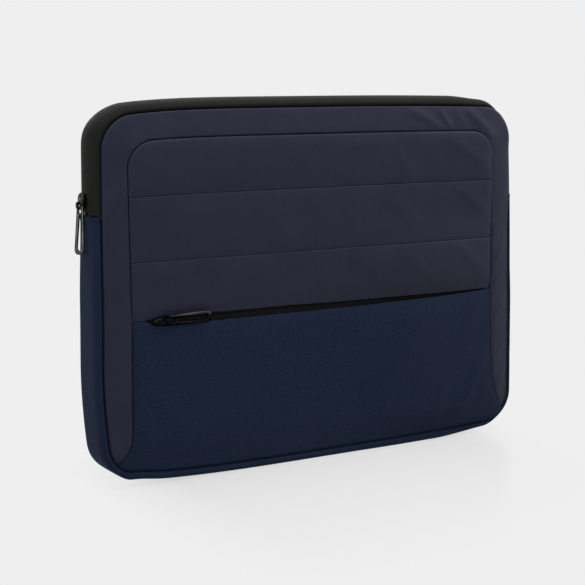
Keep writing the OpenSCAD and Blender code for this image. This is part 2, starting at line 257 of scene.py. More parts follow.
# %% [markdown]
# ## Zip tape, lining, binding, coil, thread and metal
# The zip tape is a black herringbone ribbon: ribs lean one way, then the other, across
# its width. The pocket's tape is the same ribbon painted a deeper black, as painted shade
# inside the slit. The lining is a thin grey satin, the binding a plain black ribbon. The
# coil is shiny extruded nylon and the thread a matt twist. The sliders and pulls are cast
# metal with a dark plated skin. The main slider's nose and cap and the main pull are
# lighter copies of it, as painted highlight. The other pull's upper bar is painted
# lighter as a highlight, while its lower bar stays dark as painted shade.

# %% Ribbons and lining


def ribbon_cloth(name, dark, light, rib, lean):
    """A woven ribbon. U runs along it and V across it, both in metres."""
    material, shader, place, (along, across, _) = start_finish(name)
    zigzag = (across * (TAU / 0.0034)).sin()
    ribs = ((along + zigzag * lean) * (TAU / rib)).sin() * 0.5 + 0.5
    cross = (across * (TAU / 0.00085)).sin() * 0.5 + 0.5
    fluff = place.noise(900, 2.0)
    cloud = place.noise(45, 2.0)
    height = ribs * 0.6 + cross * 0.25 + fluff * 0.4
    colour = (height * 0.6 + cloud * 0.4).clamp().tint(dark, light)
    gloss = 0.9 - ribs * 0.2
    sheen = {"Sheen Weight": 0.06, "Sheen Roughness": 0.22}
    plug(shader, colour, gloss, height, 0.00018, {"Specular IOR Level": 0.06, **sheen})
    return material


ZIP_TAPE = ribbon_cloth(
    "zip_tape", (0.0028, 0.0028, 0.0026), (0.0125, 0.0124, 0.0115), 0.0009, 0.0006
)
# The pocket's tape is painted a deeper black, as painted shade inside the slit.
SHADED_POCKET_TAPE = ribbon_cloth(
    "shaded_pocket_zip_tape", (0.0012, 0.0012, 0.0012), (0.0055, 0.0055, 0.0052), 0.0009, 0.0006
)
BINDING = ribbon_cloth(
    "binding_tape", (0.004, 0.004, 0.0045), (0.013, 0.013, 0.014), 0.0007, 0.0
)


def lining_cloth():
    material, shader, place, (across, along, _) = start_finish("lining_cloth")
    threads = (along * (TAU / 0.0005)).sin() * (across * (TAU / 0.0005)).sin() * 0.5 + 0.5
    cloud = place.noise(26, 3.0)
    shade = (threads * 0.3 + cloud * 0.7).clamp()
    colour = shade.tint((0.020, 0.021, 0.024), (0.043, 0.045, 0.050))
    gloss = cloud * 0.2 + 0.42
    relief = threads * 0.3 + place.noise(160, 2.0)
    plug(shader, colour, gloss, relief, 0.00015, {"Specular IOR Level": 0.35})
    return material


LINING = lining_cloth()
print("made", ZIP_TAPE.name, SHADED_POCKET_TAPE.name, BINDING.name, LINING.name)

# %% Coil, thread and metal


def plain_grain(name, dark, light, rough, grain, depth, **values):
    """A solid material with fine grain, read from Object coordinates."""
    material, shader, place, _ = start_finish(name, "Object")
    speck = place.noise(grain, 3.0)
    wear = place.noise(grain * 0.12, 4.0, 0.65)
    colour = (wear * 0.7 + speck * 0.3).clamp().tint(dark, light)
    gloss = wear * 0.16 + speck * 0.08 + rough
    plug(shader, colour, gloss, speck, depth, values)
    return material


def thread(name, dark, light, rough):
    matt = {"Specular IOR Level": 0.08}
    return plain_grain(name, dark, light, rough, 5200, 0.00006, **matt)


METAL_GRAIN, METAL_RELIEF = 3600, 0.000012
# The second tone is the light end of the painted highlights on the metal.
PLATING, HIGHLIGHT_TONE = (0.0018, 0.0018, 0.0017), (0.034, 0.034, 0.032)


def plated(name, dark, light, rough):
    return plain_grain(name, dark, light, rough, METAL_GRAIN, METAL_RELIEF, Metallic=1.0)


def highlight_bar():
    """The pocket pull: plated dark, painted lighter along its upper bar as a highlight,
    and left dark along its lower bar as painted shade.
    """
    material, shader, place, (_, _, high) = start_finish("highlight_bar", "Object")
    speck = place.noise(METAL_GRAIN, 3.0)
    # Painted highlight: above this height, on the upper bar, the metal is painted lighter; below
    # it the lower bar stays dark as painted shade.
    upper_bar_highlight = ((high - 0.1272) / 0.0014).clamp()
    colour = (upper_bar_highlight * 0.75 + speck * 0.25).tint(PLATING, HIGHLIGHT_TONE)
    gloss = speck * 0.1 + 0.2
    plug(shader, colour, gloss, speck, METAL_RELIEF, {"Metallic": 1.0})
    return material


COIL = plain_grain("zip_coil", (0.006, 0.006, 0.006), (0.016, 0.016, 0.016), 0.30, 2600, 0.00003)
THREAD = thread("thread", (0.006, 0.007, 0.012), (0.018, 0.020, 0.031), 0.70)
DARK_THREAD = thread("dark_thread", (0.004, 0.004, 0.004), (0.012, 0.012, 0.012), 0.75)
METAL = plated("dark_metal", PLATING, (0.0085, 0.0085, 0.0080), 0.16)
# Two lighter copies of the plated metal, as painted highlight: one for the main slider's nose,
# one for the main pull and the cap on the main slider.
PAINTED_LIT_METAL = plated("painted_lit_metal", (0.008, 0.008, 0.0075), HIGHLIGHT_TONE, 0.2)
PAINTED_HIGHLIGHT_METAL = plated("painted_highlight_metal", (0.030, 0.031, 0.028), (0.085, 0.086, 0.079), 0.22)
HIGHLIGHT_BAR = highlight_bar()
print("made", COIL.name, THREAD.name, METAL.name, PAINTED_LIT_METAL.name, PAINTED_HIGHLIGHT_METAL.name)

# %% [markdown]
# ## The seam outline
# One closed line is shared by the whole sleeve: the seam where the front meets the
# gusset. It is a rounded rectangle, but a sewn one: each corner has its own radius, the
# sides are fullest low down, and the long edges bow. Everything else is measured from
# this line, so the pieces meet along it by construction.

# %% Lines and smooth steps


def arc(x, z, radius, start, stop):
    angle = np.radians(np.linspace(start, stop, 60))
    return np.column_stack([x + radius * np.cos(angle), z + radius * np.sin(angle)])


def lengths(points):
    step = np.linalg.norm(np.diff(points, axis=0), axis=1)
    return np.concatenate([[0], np.cumsum(step)])


def resample(points, count):
    """The same line with count points at even distances."""
    points = np.asarray(points, float)
    far = lengths(points)
    want = np.linspace(0, far[-1], count)
    return np.column_stack([np.interp(want, far, column) for column in points.T])


def smooth(t):
    """From 0 to 1 as t goes from 0 to 1, level at both ends."""
    t = np.clip(t, 0, 1)
    return t * t * (3 - 2 * t)


def hump(t):
    """1 where t is 0, falling away smoothly on both sides."""
    return np.exp(-(t**2))


print("line helpers ready")

# %% Seam outline
SEAM_HALF = 190.4
SEAM_SHIFT = 0.4
SEAM_LOW = 7.0
SEAM_TOP = 281.4
FULLEST = 95.0
SEAM_DEPTH = 15.0
HIDDEN_EDGE = 12.3


def swell(points):
    """Draws the sides in above and below the place where the sleeve is fullest."""
    x, z = points[:, 0], points[:, 1]
    above = np.clip((z - FULLEST) / 150, 0, None) ** 2
    below = np.clip((FULLEST - z) / 88, 0, None) ** 2
    left_pull = 0.8 * smooth((z - 70) / 70) + 0.7 * above + 6.2 * below
    right_pull = 3.6 * above - 2.0 * below - 2.3
    right_pull += 0.5 * smooth((z - 60) / 100) - 0.7 * smooth((z - 35) / 40)
    pull = np.where(x < 0, left_pull, right_pull)
    pull = pull * np.clip(np.abs(x) / SEAM_HALF, 0, 1) ** 12
    return np.column_stack([x - np.sign(x) * pull, z])


def settle(x, z):
    """The bow of the long edges: the corners sag at the top and rise at the foot."""
    rise = np.clip((z - 145) / 138, -1, 1)
    side = np.clip(np.abs(x) / SEAM_HALF, 0, 1)
    flat = 1 - 0.4 * np.clip(1 - z / SEAM_LOW, 0, 1)
    left = 6.8 * side**3.0 + 1.3 * hump((x + 163) / 14)
    lift = np.where(x < 0, left, 3.0 * flat * side**2.8) * np.clip(-rise, 0, 1) ** 2
    sag = np.where(x < 0, 7.2 * side**4.9, 2.8 * side**2.5)
    return z + lift - sag * np.clip(rise, 0, 1) ** 2


def unsettle(x, z):
    """The height that settle() brings to z."""
    raw = z
    for _ in range(6):
        raw = raw - (settle(x, raw) - z)
    return raw


R_LOW_LEFT, R_TOP_LEFT, R_TOP_RIGHT, R_LOW_RIGHT = 21, 25, 27, 24
FOOT_LEFT, FOOT_RIGHT = R_LOW_LEFT - SEAM_HALF, SEAM_HALF - R_LOW_RIGHT
TOP_LEFT, TOP_RIGHT = R_TOP_LEFT - SEAM_HALF, SEAM_HALF - R_TOP_RIGHT
OUTLINE = [
    [[0, SEAM_LOW]],
    arc(FOOT_LEFT, SEAM_LOW + R_LOW_LEFT, R_LOW_LEFT, 270, 180),
    arc(TOP_LEFT, SEAM_TOP - R_TOP_LEFT, R_TOP_LEFT, 180, 90),
    arc(TOP_RIGHT, SEAM_TOP - R_TOP_RIGHT, R_TOP_RIGHT, 90, 0),
    arc(FOOT_RIGHT, SEAM_LOW + R_LOW_RIGHT, R_LOW_RIGHT, 0, -90),
    [[0, SEAM_LOW]],
]
OUTLINE = swell(resample(np.vstack(OUTLINE), 2600)) + [SEAM_SHIFT, 0]
OUTLINE_FAR = lengths(OUTLINE)
WAY_ROUND = OUTLINE_FAR[-1]
print("seam outline", round(WAY_ROUND), "mm long")

# %% [markdown]
# The outline answers a few questions for the pieces: where a distance along it lies and
# which way is out, how far a place is from it, and how wide the sleeve is at a height.

# %% Places on the outline


def seam_point(far):
    """Points of the outline at distances along it, and the directions out of it."""
    far = np.mod(far, WAY_ROUND)
    place = np.column_stack([np.interp(far, OUTLINE_FAR, column) for column in OUTLINE.T])
    ahead = np.gradient(OUTLINE, axis=0)
    ahead[0] = ahead[-1] = (-1, 0)
    tangent = np.column_stack([np.interp(far, OUTLINE_FAR, column) for column in ahead.T])
    tangent /= np.linalg.norm(tangent, axis=1, keepdims=True)
    return place, np.column_stack([-tangent[:, 1], tangent[:, 0]])


def outwards(place, out, lift):
    """The x and z of places on the outline, each moved out by the lifts in its row."""
    return place[:, :1] + out[:, :1] * lift, place[:, 1:] + out[:, 1:] * lift


def settled(x, y, z):
    """Points at places inside the outline and at depths, with the bow of the edges."""
    return np.stack(np.broadcast_arrays(x, y, settle(x, z)), axis=-1)


def seam_far(x, z):
    """The distance along the outline of its point nearest to x, z."""
    gap = np.hypot(OUTLINE[:, 0] - x, OUTLINE[:, 1] - z)
    return OUTLINE_FAR[int(np.argmin(gap))]


def gap_to(line, x, z):
    """How far each point is from a line, given by closely spaced points."""
    flat = np.column_stack([np.ravel(x), np.ravel(z)])
    gaps = []
    for part in np.array_split(flat, len(flat) // 4000 + 1):
        apart = np.hypot(part[:, :1] - line[:, 0], part[:, 1:] - line[:, 1])
        gaps.append(apart.min(axis=1))
    return np.concatenate(gaps).reshape(np.shape(x))


def outline_sides(z):
    """The left and right limits of the seam outline at a height."""
    left = OUTLINE[OUTLINE[:, 0] < -1]
    right = OUTLINE[OUTLINE[:, 0] > 1][::-1]
    return np.interp(z, left[:, 1], left[:, 0]), np.interp(z, right[:, 1], right[:, 0])


def sheet_sides(rows):
    """The sides of a sheet that fills the outline, with rows from its foot to its top."""
    left, right = outline_sides(rows)
    left[0], right[0] = FOOT_LEFT + SEAM_SHIFT, FOOT_RIGHT + SEAM_SHIFT
    left[-1], right[-1] = TOP_LEFT + SEAM_SHIFT, TOP_RIGHT + SEAM_SHIFT
    return left, right


def between(sides, rows, across, inset=0.0):
    """A grid of places whose rows each span the two sides at their own height."""
    left, right = sides
    x = (left + right)[:, None] / 2 + ((right - left)[:, None] / 2 - inset) * across
    return x, np.repeat(rows[:, None], len(across), axis=1)


print("sides", FULLEST, "mm up:", np.round(outline_sides(FULLEST), 1), "mm")

# %% [markdown]
# ## Cloth from a grid of points
# Each cloth piece is a grid of points, row by row, with a UV map in metres. The grid
# becomes a mesh whose faces look away from the middle of the sleeve, and a Solidify
# modifier gives the cloth its thickness inwards. The modifier is applied at once, so
# the finished piece is a plain mesh. Rows lie close together beside a seam, where the
# cloth turns sharply, and further apart in between.

# %% Mesh helpers


@contextmanager
def opened(mesh):
    """A mesh opened for editing, and written back when the block ends."""
    work = bmesh.new()
    work.from_mesh(mesh)
    yield work
    work.to_mesh(mesh)
    work.free()


def weld(mesh, reach=1e-6):
    with opened(mesh) as work:
        bmesh.ops.remove_doubles(work, verts=work.verts, dist=reach)
        bmesh.ops.dissolve_degenerate(work, dist=1e-7, edges=work.edges)


def apply_modifiers(piece):
    depsgraph = bpy.context.evaluated_depsgraph_get()
    made = bpy.data.meshes.new_from_object(piece.evaluated_get(depsgraph))
    old = piece.data
    piece.modifiers.clear()
    piece.data = made
    bpy.data.meshes.remove(old)
    made.name = piece.name


def finished(piece):
    piece.data.polygons.foreach_set("use_smooth", [True] * len(piece.data.polygons))
    print(piece.name, len(piece.data.polygons), "faces")
    return piece


def new_piece(name, mesh, finish):
    mesh.materials.append(finish)
    piece = bpy.data.objects.new(name, mesh)
    scene.collection.objects.link(piece)
    return piece


print("mesh helpers ready")

# %% Grids of cloth


def grid_mesh(name, points, uv):
    """A grid of points in millimetres as a mesh that faces away from the middle."""
    rows, columns = points.shape[:2]
    index = np.arange(rows * columns).reshape(rows, columns)
    quads = np.stack(
        [index[:-1, :-1], index[1:, :-1], index[1:, 1:], index[:-1, 1:]], axis=-1
    ).reshape(-1, 4)
    flat = points.reshape(-1, 3) * MM
    corners = flat[quads]
    facing = np.cross(corners[:, 2] - corners[:, 0], corners[:, 3] - corners[:, 1])
    middle = corners.mean(axis=1) - np.array([0, 0, 0.145])
    if (facing * middle).sum() < 0:
        quads = quads[:, ::-1]
    mesh = bpy.data.meshes.new(name)
    mesh.from_pydata(flat.tolist(), [], quads.tolist())
    layer = mesh.uv_layers.new(name="UVMap")
    corner_uv = uv.reshape(-1, 2)[quads.ravel()].astype(np.float32)
    layer.data.foreach_set("uv", corner_uv.ravel())
    weld(mesh)
    return mesh


def cloth_piece(name, points, uv, finish, thick=0.6):
    """A grid of points, rows by columns, made into a piece of cloth."""
    piece = new_piece(name, grid_mesh(name, points, uv), finish)
    solid = piece.modifiers.new("thickness", "SOLIDIFY")
    solid.thickness = thick * MM
    solid.offset = -1
    apply_modifiers(piece)
    return finished(piece)


NEAR_SEAM = np.array([0, 0.1, 0.25, 0.45, 0.7, 1.0, 1.4, 1.9, 2.6, 3.5, 4.6, 6.0])


def spaced(low, high, step):
    """Places from low to high, close together at both ends."""
    inner = np.linspace(low + 6, high - 6, max(2, round((high - low - 12) / step) + 1))
    return np.concatenate([low + NEAR_SEAM[:-1], inner, high - NEAR_SEAM[-2::-1]])


def length_uv(points):
    """A UV map of a grid whose V follows the cloth's own length up each column."""
    step = np.linalg.norm(np.diff(points, axis=0), axis=2)
    up = np.vstack([np.zeros((1, points.shape[1])), np.cumsum(step, axis=0)])
    return np.stack([points[..., 0], up], axis=-1) * MM


print("rows beside a seam", NEAR_SEAM, "mm from it")

# %% [markdown]
# ## The shape of the front
# All the front pieces share one height function: how far the cloth stands out at a
# given place. It starts at the seam and swells over the padding, which has shifted to
# the lower right. At every seam the cloth turns down round a small radius, so a seam is
# a real narrow groove and not a painted line. Beside the pocket zip it dips, so that the
# slider can pass. Folds are long soft ridges, laid where sewn cloth gathers.

# %% Front height
SLIT = 126.0
QUILT_LOW = 170.0
FOLD = 219.0
PANEL_TOP = 261.2
PANEL_LEFT, PANEL_RIGHT = -169.3, 168.2
R_PANEL = 21


def front_height(gap):
    """How far the padded front stands out, by the distance from the outer seam."""
    edge = 0.9 * (1 - np.exp(-gap / 4))
    return SEAM_DEPTH + edge + 2.3 * smooth(gap / 30) + 0.7 * smooth(gap / 85)


def right_ridge(x, z):
    """The padding is fuller low down on the right, but not beside the slit."""
    full = 3.4 * (1 - 0.95 * smooth((z - 150) / 50)) * (1 - 0.85 * hump((z - SLIT) / 11))
    return full * smooth((x - 5) / 95) * smooth((200 - x) / 100)


def slit_dip(z):
    """The cloth dips beside the slit, which leaves room for the slider and its pull."""
    return 1.1 * hump((z - SLIT) / 6)


def roll(gap, radius):
    """Drop of an edge that turns down round a radius, by the distance from it."""
    near = np.clip(1 - gap / radius, 0, 1)
    return radius * (1 - np.sqrt(1 - near**2))


print("fold at", FOLD, "mm, slit at", SLIT, "mm")

# %% Folds and waves


def crease(x, z, start, stop, width, height, bend=0.0):
    """A soft ridge between two places, tapering at both ends."""
    start, stop = np.array(start, float), np.array(stop, float)
    run = stop - start
    long = np.hypot(*run)
    ahead = run / long
    t = np.clip(((x - start[0]) * ahead[0] + (z - start[1]) * ahead[1]) / long, 0, 1)
    off = (z - start[1]) * ahead[0] - (x - start[0]) * ahead[1]
    off = off - bend * np.sin(t * np.pi)
    return height * np.sin(t * np.pi) ** 0.8 * hump(off / width)


def folds(x, z, ridges):
    total = np.zeros(np.shape(x))
    for ridge in ridges:
        total = total + crease(x, z, *ridge)
    return total


def waves(x, z, seed, scale):
    """Slow seeded unevenness, between about -1 and 1."""
    draw = np.random.default_rng(seed)
    total = np.zeros(np.shape(x))
    for _ in range(6):
        angle, phase = draw.uniform(0, TAU, 2)
        pitch = scale * draw.uniform(0.6, 1.8)
        total += np.sin((x * np.cos(angle) + z * np.sin(angle)) * TAU / pitch + phase)
    return total / 3.5


print("one fold rises", crease(0.0, 0.0, (-9, 0), (9, 0), 3.0, 0.5), "mm")

# %% [markdown]
# ## The line round the quilted panel
# The smooth strip that frames the front runs up the left side, over the top and down
# the right side, and tapers away at the two lower corners. Its outer edge is the seam
# outline. Its inner edge is this second line. Both are cut into the same number of
# steps, so that each place on one has its partner on the other.

# %% Inner line
LEFT_FOOT = [
    (-181.6, 18.2), (-178.4, 21), (-174, 25.2), (-171, 29.4), (-169.3, 34.5),
    (-168.6, 42), (-168.6, 62),
]
RIGHT_FOOT = [
    (PANEL_RIGHT, 101), (168.7, 86), (169.9, 70), (172.0, 48), (176.7, 31.7),
    (181.4, 23.6), (184.2, 19.6),
]
LEFT_FOOT = np.array([(x, unsettle(x, z)) for x, z in LEFT_FOOT])
RIGHT_FOOT = np.array([(x, unsettle(x, z)) for x, z in RIGHT_FOOT])
PANEL_TURN_LEFT = (PANEL_LEFT + R_PANEL, PANEL_TOP - R_PANEL)
PANEL_TURN_RIGHT = (PANEL_RIGHT - R_PANEL, PANEL_TOP - R_PANEL)
INNER = [
    resample(LEFT_FOOT, 60),
    resample([LEFT_FOOT[-1], (-167.9, 128), (PANEL_LEFT, PANEL_TURN_LEFT[1])], 130),
    resample(arc(*PANEL_TURN_LEFT, R_PANEL, 180, 90), 50),
    resample([(PANEL_TURN_LEFT[0], PANEL_TOP), (PANEL_TURN_RIGHT[0], PANEL_TOP)], 230),
    resample(arc(*PANEL_TURN_RIGHT, R_PANEL, 90, 0), 50),
    resample([(PANEL_RIGHT, PANEL_TURN_RIGHT[1]), RIGHT_FOOT[0]], 105),
    resample(RIGHT_FOOT, 85),
]
INNER_LINE = np.vstack([INNER[0]] + [part[1:] for part in INNER[1:]])
OUTER_STOPS = [
    seam_far(*LEFT_FOOT[0]),
    seam_far(-SEAM_HALF, LEFT_FOOT[-1][1]),
    seam_far(-SEAM_HALF, SEAM_TOP - R_TOP_LEFT),
    seam_far(TOP_LEFT, SEAM_TOP),
    seam_far(TOP_RIGHT, SEAM_TOP),
    seam_far(SEAM_HALF, SEAM_TOP - R_TOP_RIGHT),
    seam_far(SEAM_HALF, RIGHT_FOOT[0][1]),
    seam_far(*RIGHT_FOOT[-1]),
]
OUTER_AT = [[OUTER_STOPS[0]]]
for start, stop, part in zip(OUTER_STOPS[:-1], OUTER_STOPS[1:], INNER):
    OUTER_AT.append(np.linspace(start, stop, len(part))[1:])
OUTER_AT = np.concatenate(OUTER_AT)
OUTER_LINE = seam_point(OUTER_AT)[0]
INNER_LINE[0], INNER_LINE[-1] = OUTER_LINE[0], OUTER_LINE[-1]
print("inner line", round(lengths(INNER_LINE)[-1]), "mm long")

# %% [markdown]
# ## Swelling the padding
# Cloth over wadding is held along its seams and pushed out everywhere else, and no
# formula gives the uneven way it swells. So a coarse sheet is pinned along every seam of
# the front and blown out with the Cloth modifier for twenty frames. How far it rose is
# kept as a map of heights, which the finer pieces add to their own shape. The map is
# smoothed a little and its rise is capped.

# %% Swelling
SHEET_STEP = 4.0
SHEET_X = np.arange(-192, 192.1, SHEET_STEP)
SHEET_Z = np.arange(SEAM_LOW, SEAM_TOP + SHEET_STEP, SHEET_STEP)
MOST_RISE = 2.4


def blur(map_):
    for axis in (0, 1) * 6:
        beside = np.roll(map_, 1, axis) + np.roll(map_, -1, axis)
        map_ = 0.25 * beside + 0.5 * map_
    return map_


def pinned_sheet():
    x, z = np.meshgrid(SHEET_X, SHEET_Z)
    gap = gap_to(OUTLINE, x, z)
    left, right = outline_sides(z)
    outside = (x < left) | (x > right)
    gap[outside] = 0
    points = np.stack([x, -front_height(gap), z], axis=-1)
    held = outside | (gap < 3) | (gap_to(INNER_LINE, x, z) < 2.6)
    inside = np.abs(x) < 170
    for row in (QUILT_LOW, FOLD):
        held |= (np.abs(z - row) < 1) & inside
    held |= (np.abs(z - SLIT) < 3.5) & inside
    return points, held


def blow_out(points, held):
    """The sheet after twenty frames of Cloth, as points in millimetres."""
    uv = points[..., [0, 2]] * MM
    sheet = new_piece("sheet", grid_mesh("sheet", points, uv), COATED)
    pins = sheet.vertex_groups.new(name="pins")
    pins.add([int(k) for k in np.flatnonzero(held.ravel())], 1.0, "REPLACE")
    cloth = sheet.modifiers.new("cloth", "CLOTH")
    cloth.settings.vertex_group_mass = "pins"
    cloth.settings.use_pressure = True
    cloth.settings.uniform_pressure_force = 4.0
    cloth.settings.shrink_min = 0.0
    cloth.settings.bending_stiffness = 2.0
    cloth.settings.effector_weights.gravity = 0.0
    for step in range(1, 21):
        scene.frame_set(step)
    depsgraph = bpy.context.evaluated_depsgraph_get()
    shape = sheet.evaluated_get(depsgraph).data
    moved = np.array([v.co for v in shape.vertices]) / MM
    scene.frame_set(1)
    bpy.data.objects.remove(sheet)
    return moved.reshape(points.shape)


print("sheet of", len(SHEET_X), "by", len(SHEET_Z), "points")

# %% Map of the rise
sheet_points, sheet_held = pinned_sheet()
rise = (sheet_points - blow_out(sheet_points, sheet_held))[..., 1]
print("sheet rose", round(float(rise.min()), 2), "to", round(float(rise.max()), 2), "mm")
FINE_X = np.arange(SHEET_X[0], SHEET_X[-1] + 0.1, 1.0)
FINE_Z = np.arange(SHEET_Z[0], SHEET_Z[-1] + 0.1, 1.0)
half = np.array([np.interp(FINE_X, SHEET_X, row) for row in np.clip(rise, 0, MOST_RISE)])
RISE = blur(np.array([np.interp(FINE_Z, SHEET_Z, column) for column in half.T]).T)


def padding(x, z):
    """The rise of the swollen padding at any place on the front."""
    i = np.clip(x - FINE_X[0], 0, len(FINE_X) - 1.001)
    k = np.clip(z - FINE_Z[0], 0, len(FINE_Z) - 1.001)
    i0, k0 = i.astype(int), k.astype(int)
    a, b = i - i0, k - k0
    low = RISE[k0, i0] * (1 - a) + RISE[k0, i0 + 1] * a
    high = RISE[k0 + 1, i0] * (1 - a) + RISE[k0 + 1, i0 + 1] * a
    return low * (1 - b) + high * b


# %% [markdown]
# ## Frame of the front
# The strip gathers where it turns the upper right corner and puckers along its right
# side, where the sewing has drawn it in and its outer edge rounds off towards the seam.
# It rolls down into a groove along both of its edges.

# %% Frame cloth
STRIP_FOLDS = [
    ((78, 282), (117, 263), 4.0, 0.55),
    ((111, 282), (126, 261), 2.5, 0.50),
    ((128, 282), (142, 261), 4.0, 0.30),
    ((139, 282), (172, 253), 4.5, 0.65),
    ((-189, 203), (-168, 229), 2.6, 0.70),
    ((-189, 212), (-167, 236), 2.2, 0.50),
    ((-190, 120), (-167, 140), 4.0, 0.20),
    ((-40, 284), (-15, 261), 6.0, 0.20),
    ((166, 186), (189, 208), 3.0, 0.40),
    ((168, 174), (187, 194), 2.4, 0.35),
    ((168, 140), (189, 172), 3.4, 0.65),
    ((167, 122), (190, 146), 2.8, 0.40),
    ((169, 90), (190, 120), 3.4, 0.65),
    ((170, 79), (192, 97), 2.4, 0.45),
    ((171, 61), (192, 84), 2.8, 0.60),
    ((175, 31), (192, 60), 3.4, 0.55),
]


def inner_roll(x, z):
    """The radius of the edges along the inner line, which lies flat at the upper right."""
    return 1.4 + smooth((x - 152) / 10) * (0.3 - 1.2 * smooth((z - 170) / 25))


across = spaced(0, 22, 1.4) / 22
strip_x = OUTER_LINE[:, None, 0] * (1 - across) + INNER_LINE[:, None, 0] * across
strip_z = OUTER_LINE[:, None, 1] * (1 - across) + INNER_LINE[:, None, 1] * across
strip_wide = np.hypot(*(OUTER_LINE - INNER_LINE).T)[:, None]
from_seam = np.minimum(gap_to(OUTLINE, strip_x, strip_z), strip_wide * across)
from_inner = np.minimum(gap_to(INNER_LINE, strip_x, strip_z), strip_wide * (1 - across))
turn = np.clip(strip_wide / 3, 0.05, 1)
edge_out = seam_point(OUTER_AT)[1]
corner = np.clip(edge_out[:, 0] * edge_out[:, 1], 0, 1)
edge_roll = (0.6 + 0.8 * np.abs(edge_out[:, 0]) + 2.0 * corner)[:, None]
strip_high = front_height(from_seam) + right_ridge(strip_x, strip_z)
strip_high -= roll(from_seam, edge_roll * turn)
strip_high -= roll(from_inner, turn * inner_roll(strip_x, strip_z))
strip_high += 0.25 * padding(strip_x, strip_z) - 0.30 * np.exp(-from_inner / 3)
strip_high += folds(strip_x, strip_z, STRIP_FOLDS) * smooth(from_seam / 4)
strip_high += 0.08 * waves(strip_x, strip_z, 11, 60) - 1.2 * (1 - smooth(strip_wide / 3.5))
low_down = smooth((215 - strip_z) / 50)
round_off = (1.4 + 1.3 * low_down) * np.exp(-from_seam / (4 + 4 * low_down))
strip_high -= round_off * smooth((strip_x - 150) / 20) * smooth((262 - strip_z) / 20)
groove = 0.8 * np.exp(-from_inner / 1.6)
strip_high -= groove * smooth((strip_x - 150) / 10) * smooth((185 - strip_z) / 30)
strip = settled(strip_x, -strip_high, strip_z)


def with_wall(points, side, by=0.0, to=None):
    """The grid with one more column behind its edge at a side: by a step, or to a depth."""
    wall = points[:, [side]].copy()
    wall[..., 1] = wall[..., 1] + by if to is None else to
    return np.concatenate([wall, points] if side == 0 else [points, wall], axis=1)


strip = with_wall(with_wall(strip, 0, to=-11.6), -1, by=4.0)
strip_uv = strip[..., [0, 2]] * MM
frame_cloth = cloth_piece("frame_cloth", strip, strip_uv, COATED)

# %% [markdown]
# ## Quilted panel
# Inside the frame lies one piece of the same cloth over wadding, sewn through along two
# level lines, so it rises as three pillows. Below, it ends in a rolled edge over the
# pocket zip. The two lips of that zip stand apart where the slider and its pull lie, and
# come together towards the right.

# %% Lips of the pocket zip


def gape(x):
    """How far the pocket zip gapes along its length, from 0 to 1."""
    narrowing = np.interp(x, [-170, 30, 125, 160, 168], [1, 1, 0.55, 0.26, 0])
    return smooth((x + 161) / 16) * narrowing


LIP_ROLL = 0.75


def beside_pull(x):
    """1 where the pull of the pocket zip holds the lips further apart."""
    return np.exp(-(((x + 119) / 19) ** 4))


def upper_lip(x):
    droop = 1.1 * smooth((x + 40) / 60) * (1 - 0.5 * smooth((x - 100) / 60))
    return SLIT + LIP_ROLL - 0.1 + 1.85 * gape(x) - droop + 1.6 * beside_pull(x)


def lower_lip(x):
    return SLIT - LIP_ROLL - 0.2 - 4.2 * gape(x) - 0.6 * np.exp(-(((x + 134) / 17) ** 4))


def rolled_edge(edge, ahead):
    """Rows that turn a lip inwards round a small radius and run on behind it.
    The edge is a row of points, and ahead is -1 where the cloth ends downwards."""
    rows = []
    for angle in np.radians([25, 50, 75, 100, 130, 160]):
        row = edge.copy()
        row[:, 1] += LIP_ROLL * (1 - np.cos(angle))
        row[:, 2] += ahead * LIP_ROLL * np.sin(angle)
        rows.append(row)
    behind = rows[-1].copy()
    behind[:, 2] -= ahead * 4.0
    return np.array(rows + [behind])


PANEL_LIP, POCKET_LIP = upper_lip(0.0), lower_lip(0.0)
print("lips at", round(PANEL_LIP, 2), "and", round(POCKET_LIP, 2), "mm")

# %% Quilted cloth
PANEL_FOLDS = [
    ((118, 257), (166, 230), 5.0, 0.40),
    ((66, 251), (86, 221), 5.0, 0.22),
    ((126, 217), (167, 188), 5.0, 0.40),
    ((52, 216), (104, 176), 6.0, 0.28),
    ((42, 159), (58, 131), 4.0, 0.30),
    ((72, 167), (116, 128), 5.0, 0.32),
    ((128, 167), (163, 138), 5.0, 0.36),
    ((-152, 166), (-128, 140), 6.0, 0.25),
    ((-158, 246), (-120, 224), 7.0, 0.18),
]


def panel_sides(z):
    """The left and right limits of the panel inside the frame, at a height."""
    left = np.vstack(INNER[:3])
    right = np.vstack(INNER[4:])[::-1]
    groove = 0.4 + 0.7 * smooth((185 - z) / 20)
    left, right = [np.interp(z, line[:, 1], line[:, 0]) for line in (left, right)]
    return left + 0.4, right - groove


panel_stops = [PANEL_LIP, QUILT_LOW, FOLD, PANEL_TOP - 0.3]
panel_spans = zip(panel_stops[:-1], panel_stops[1:])
panel_rows = [spaced(low, high, 1.4)[:-1] for low, high in panel_spans]
panel_rows = np.concatenate(panel_rows + [[panel_stops[-1]]])
ACROSS = spaced(-169, 169, 1.45) / 169
panel_x, panel_z = between(panel_sides(panel_rows), panel_rows, ACROSS)


def panel_height(x, z):
    from_seam = gap_to(OUTLINE, x, z)
    from_inner = np.maximum(gap_to(INNER_LINE, x, z) - 0.3, 0)
    from_quilt = np.minimum(np.abs(z - QUILT_LOW), np.abs(z - FOLD))
    high = front_height(from_seam) - roll(from_inner, inner_roll(x, z)) - roll(from_quilt, 0.75)
    sewn = np.minimum(from_inner, from_quilt)
    high += 0.55 * (1 - np.exp(-sewn / 4)) - 0.45 + 0.55 * padding(x, z)
    high += folds(x, z, PANEL_FOLDS) * smooth(sewn / 6)
    high += 0.10 * waves(x, z, 5, 75) * smooth(sewn / 12)
    high += 0.6 * smooth((x - 85) / 75) * smooth((z - 185) / 30)
    return high + right_ridge(x, z) - slit_dip(z)


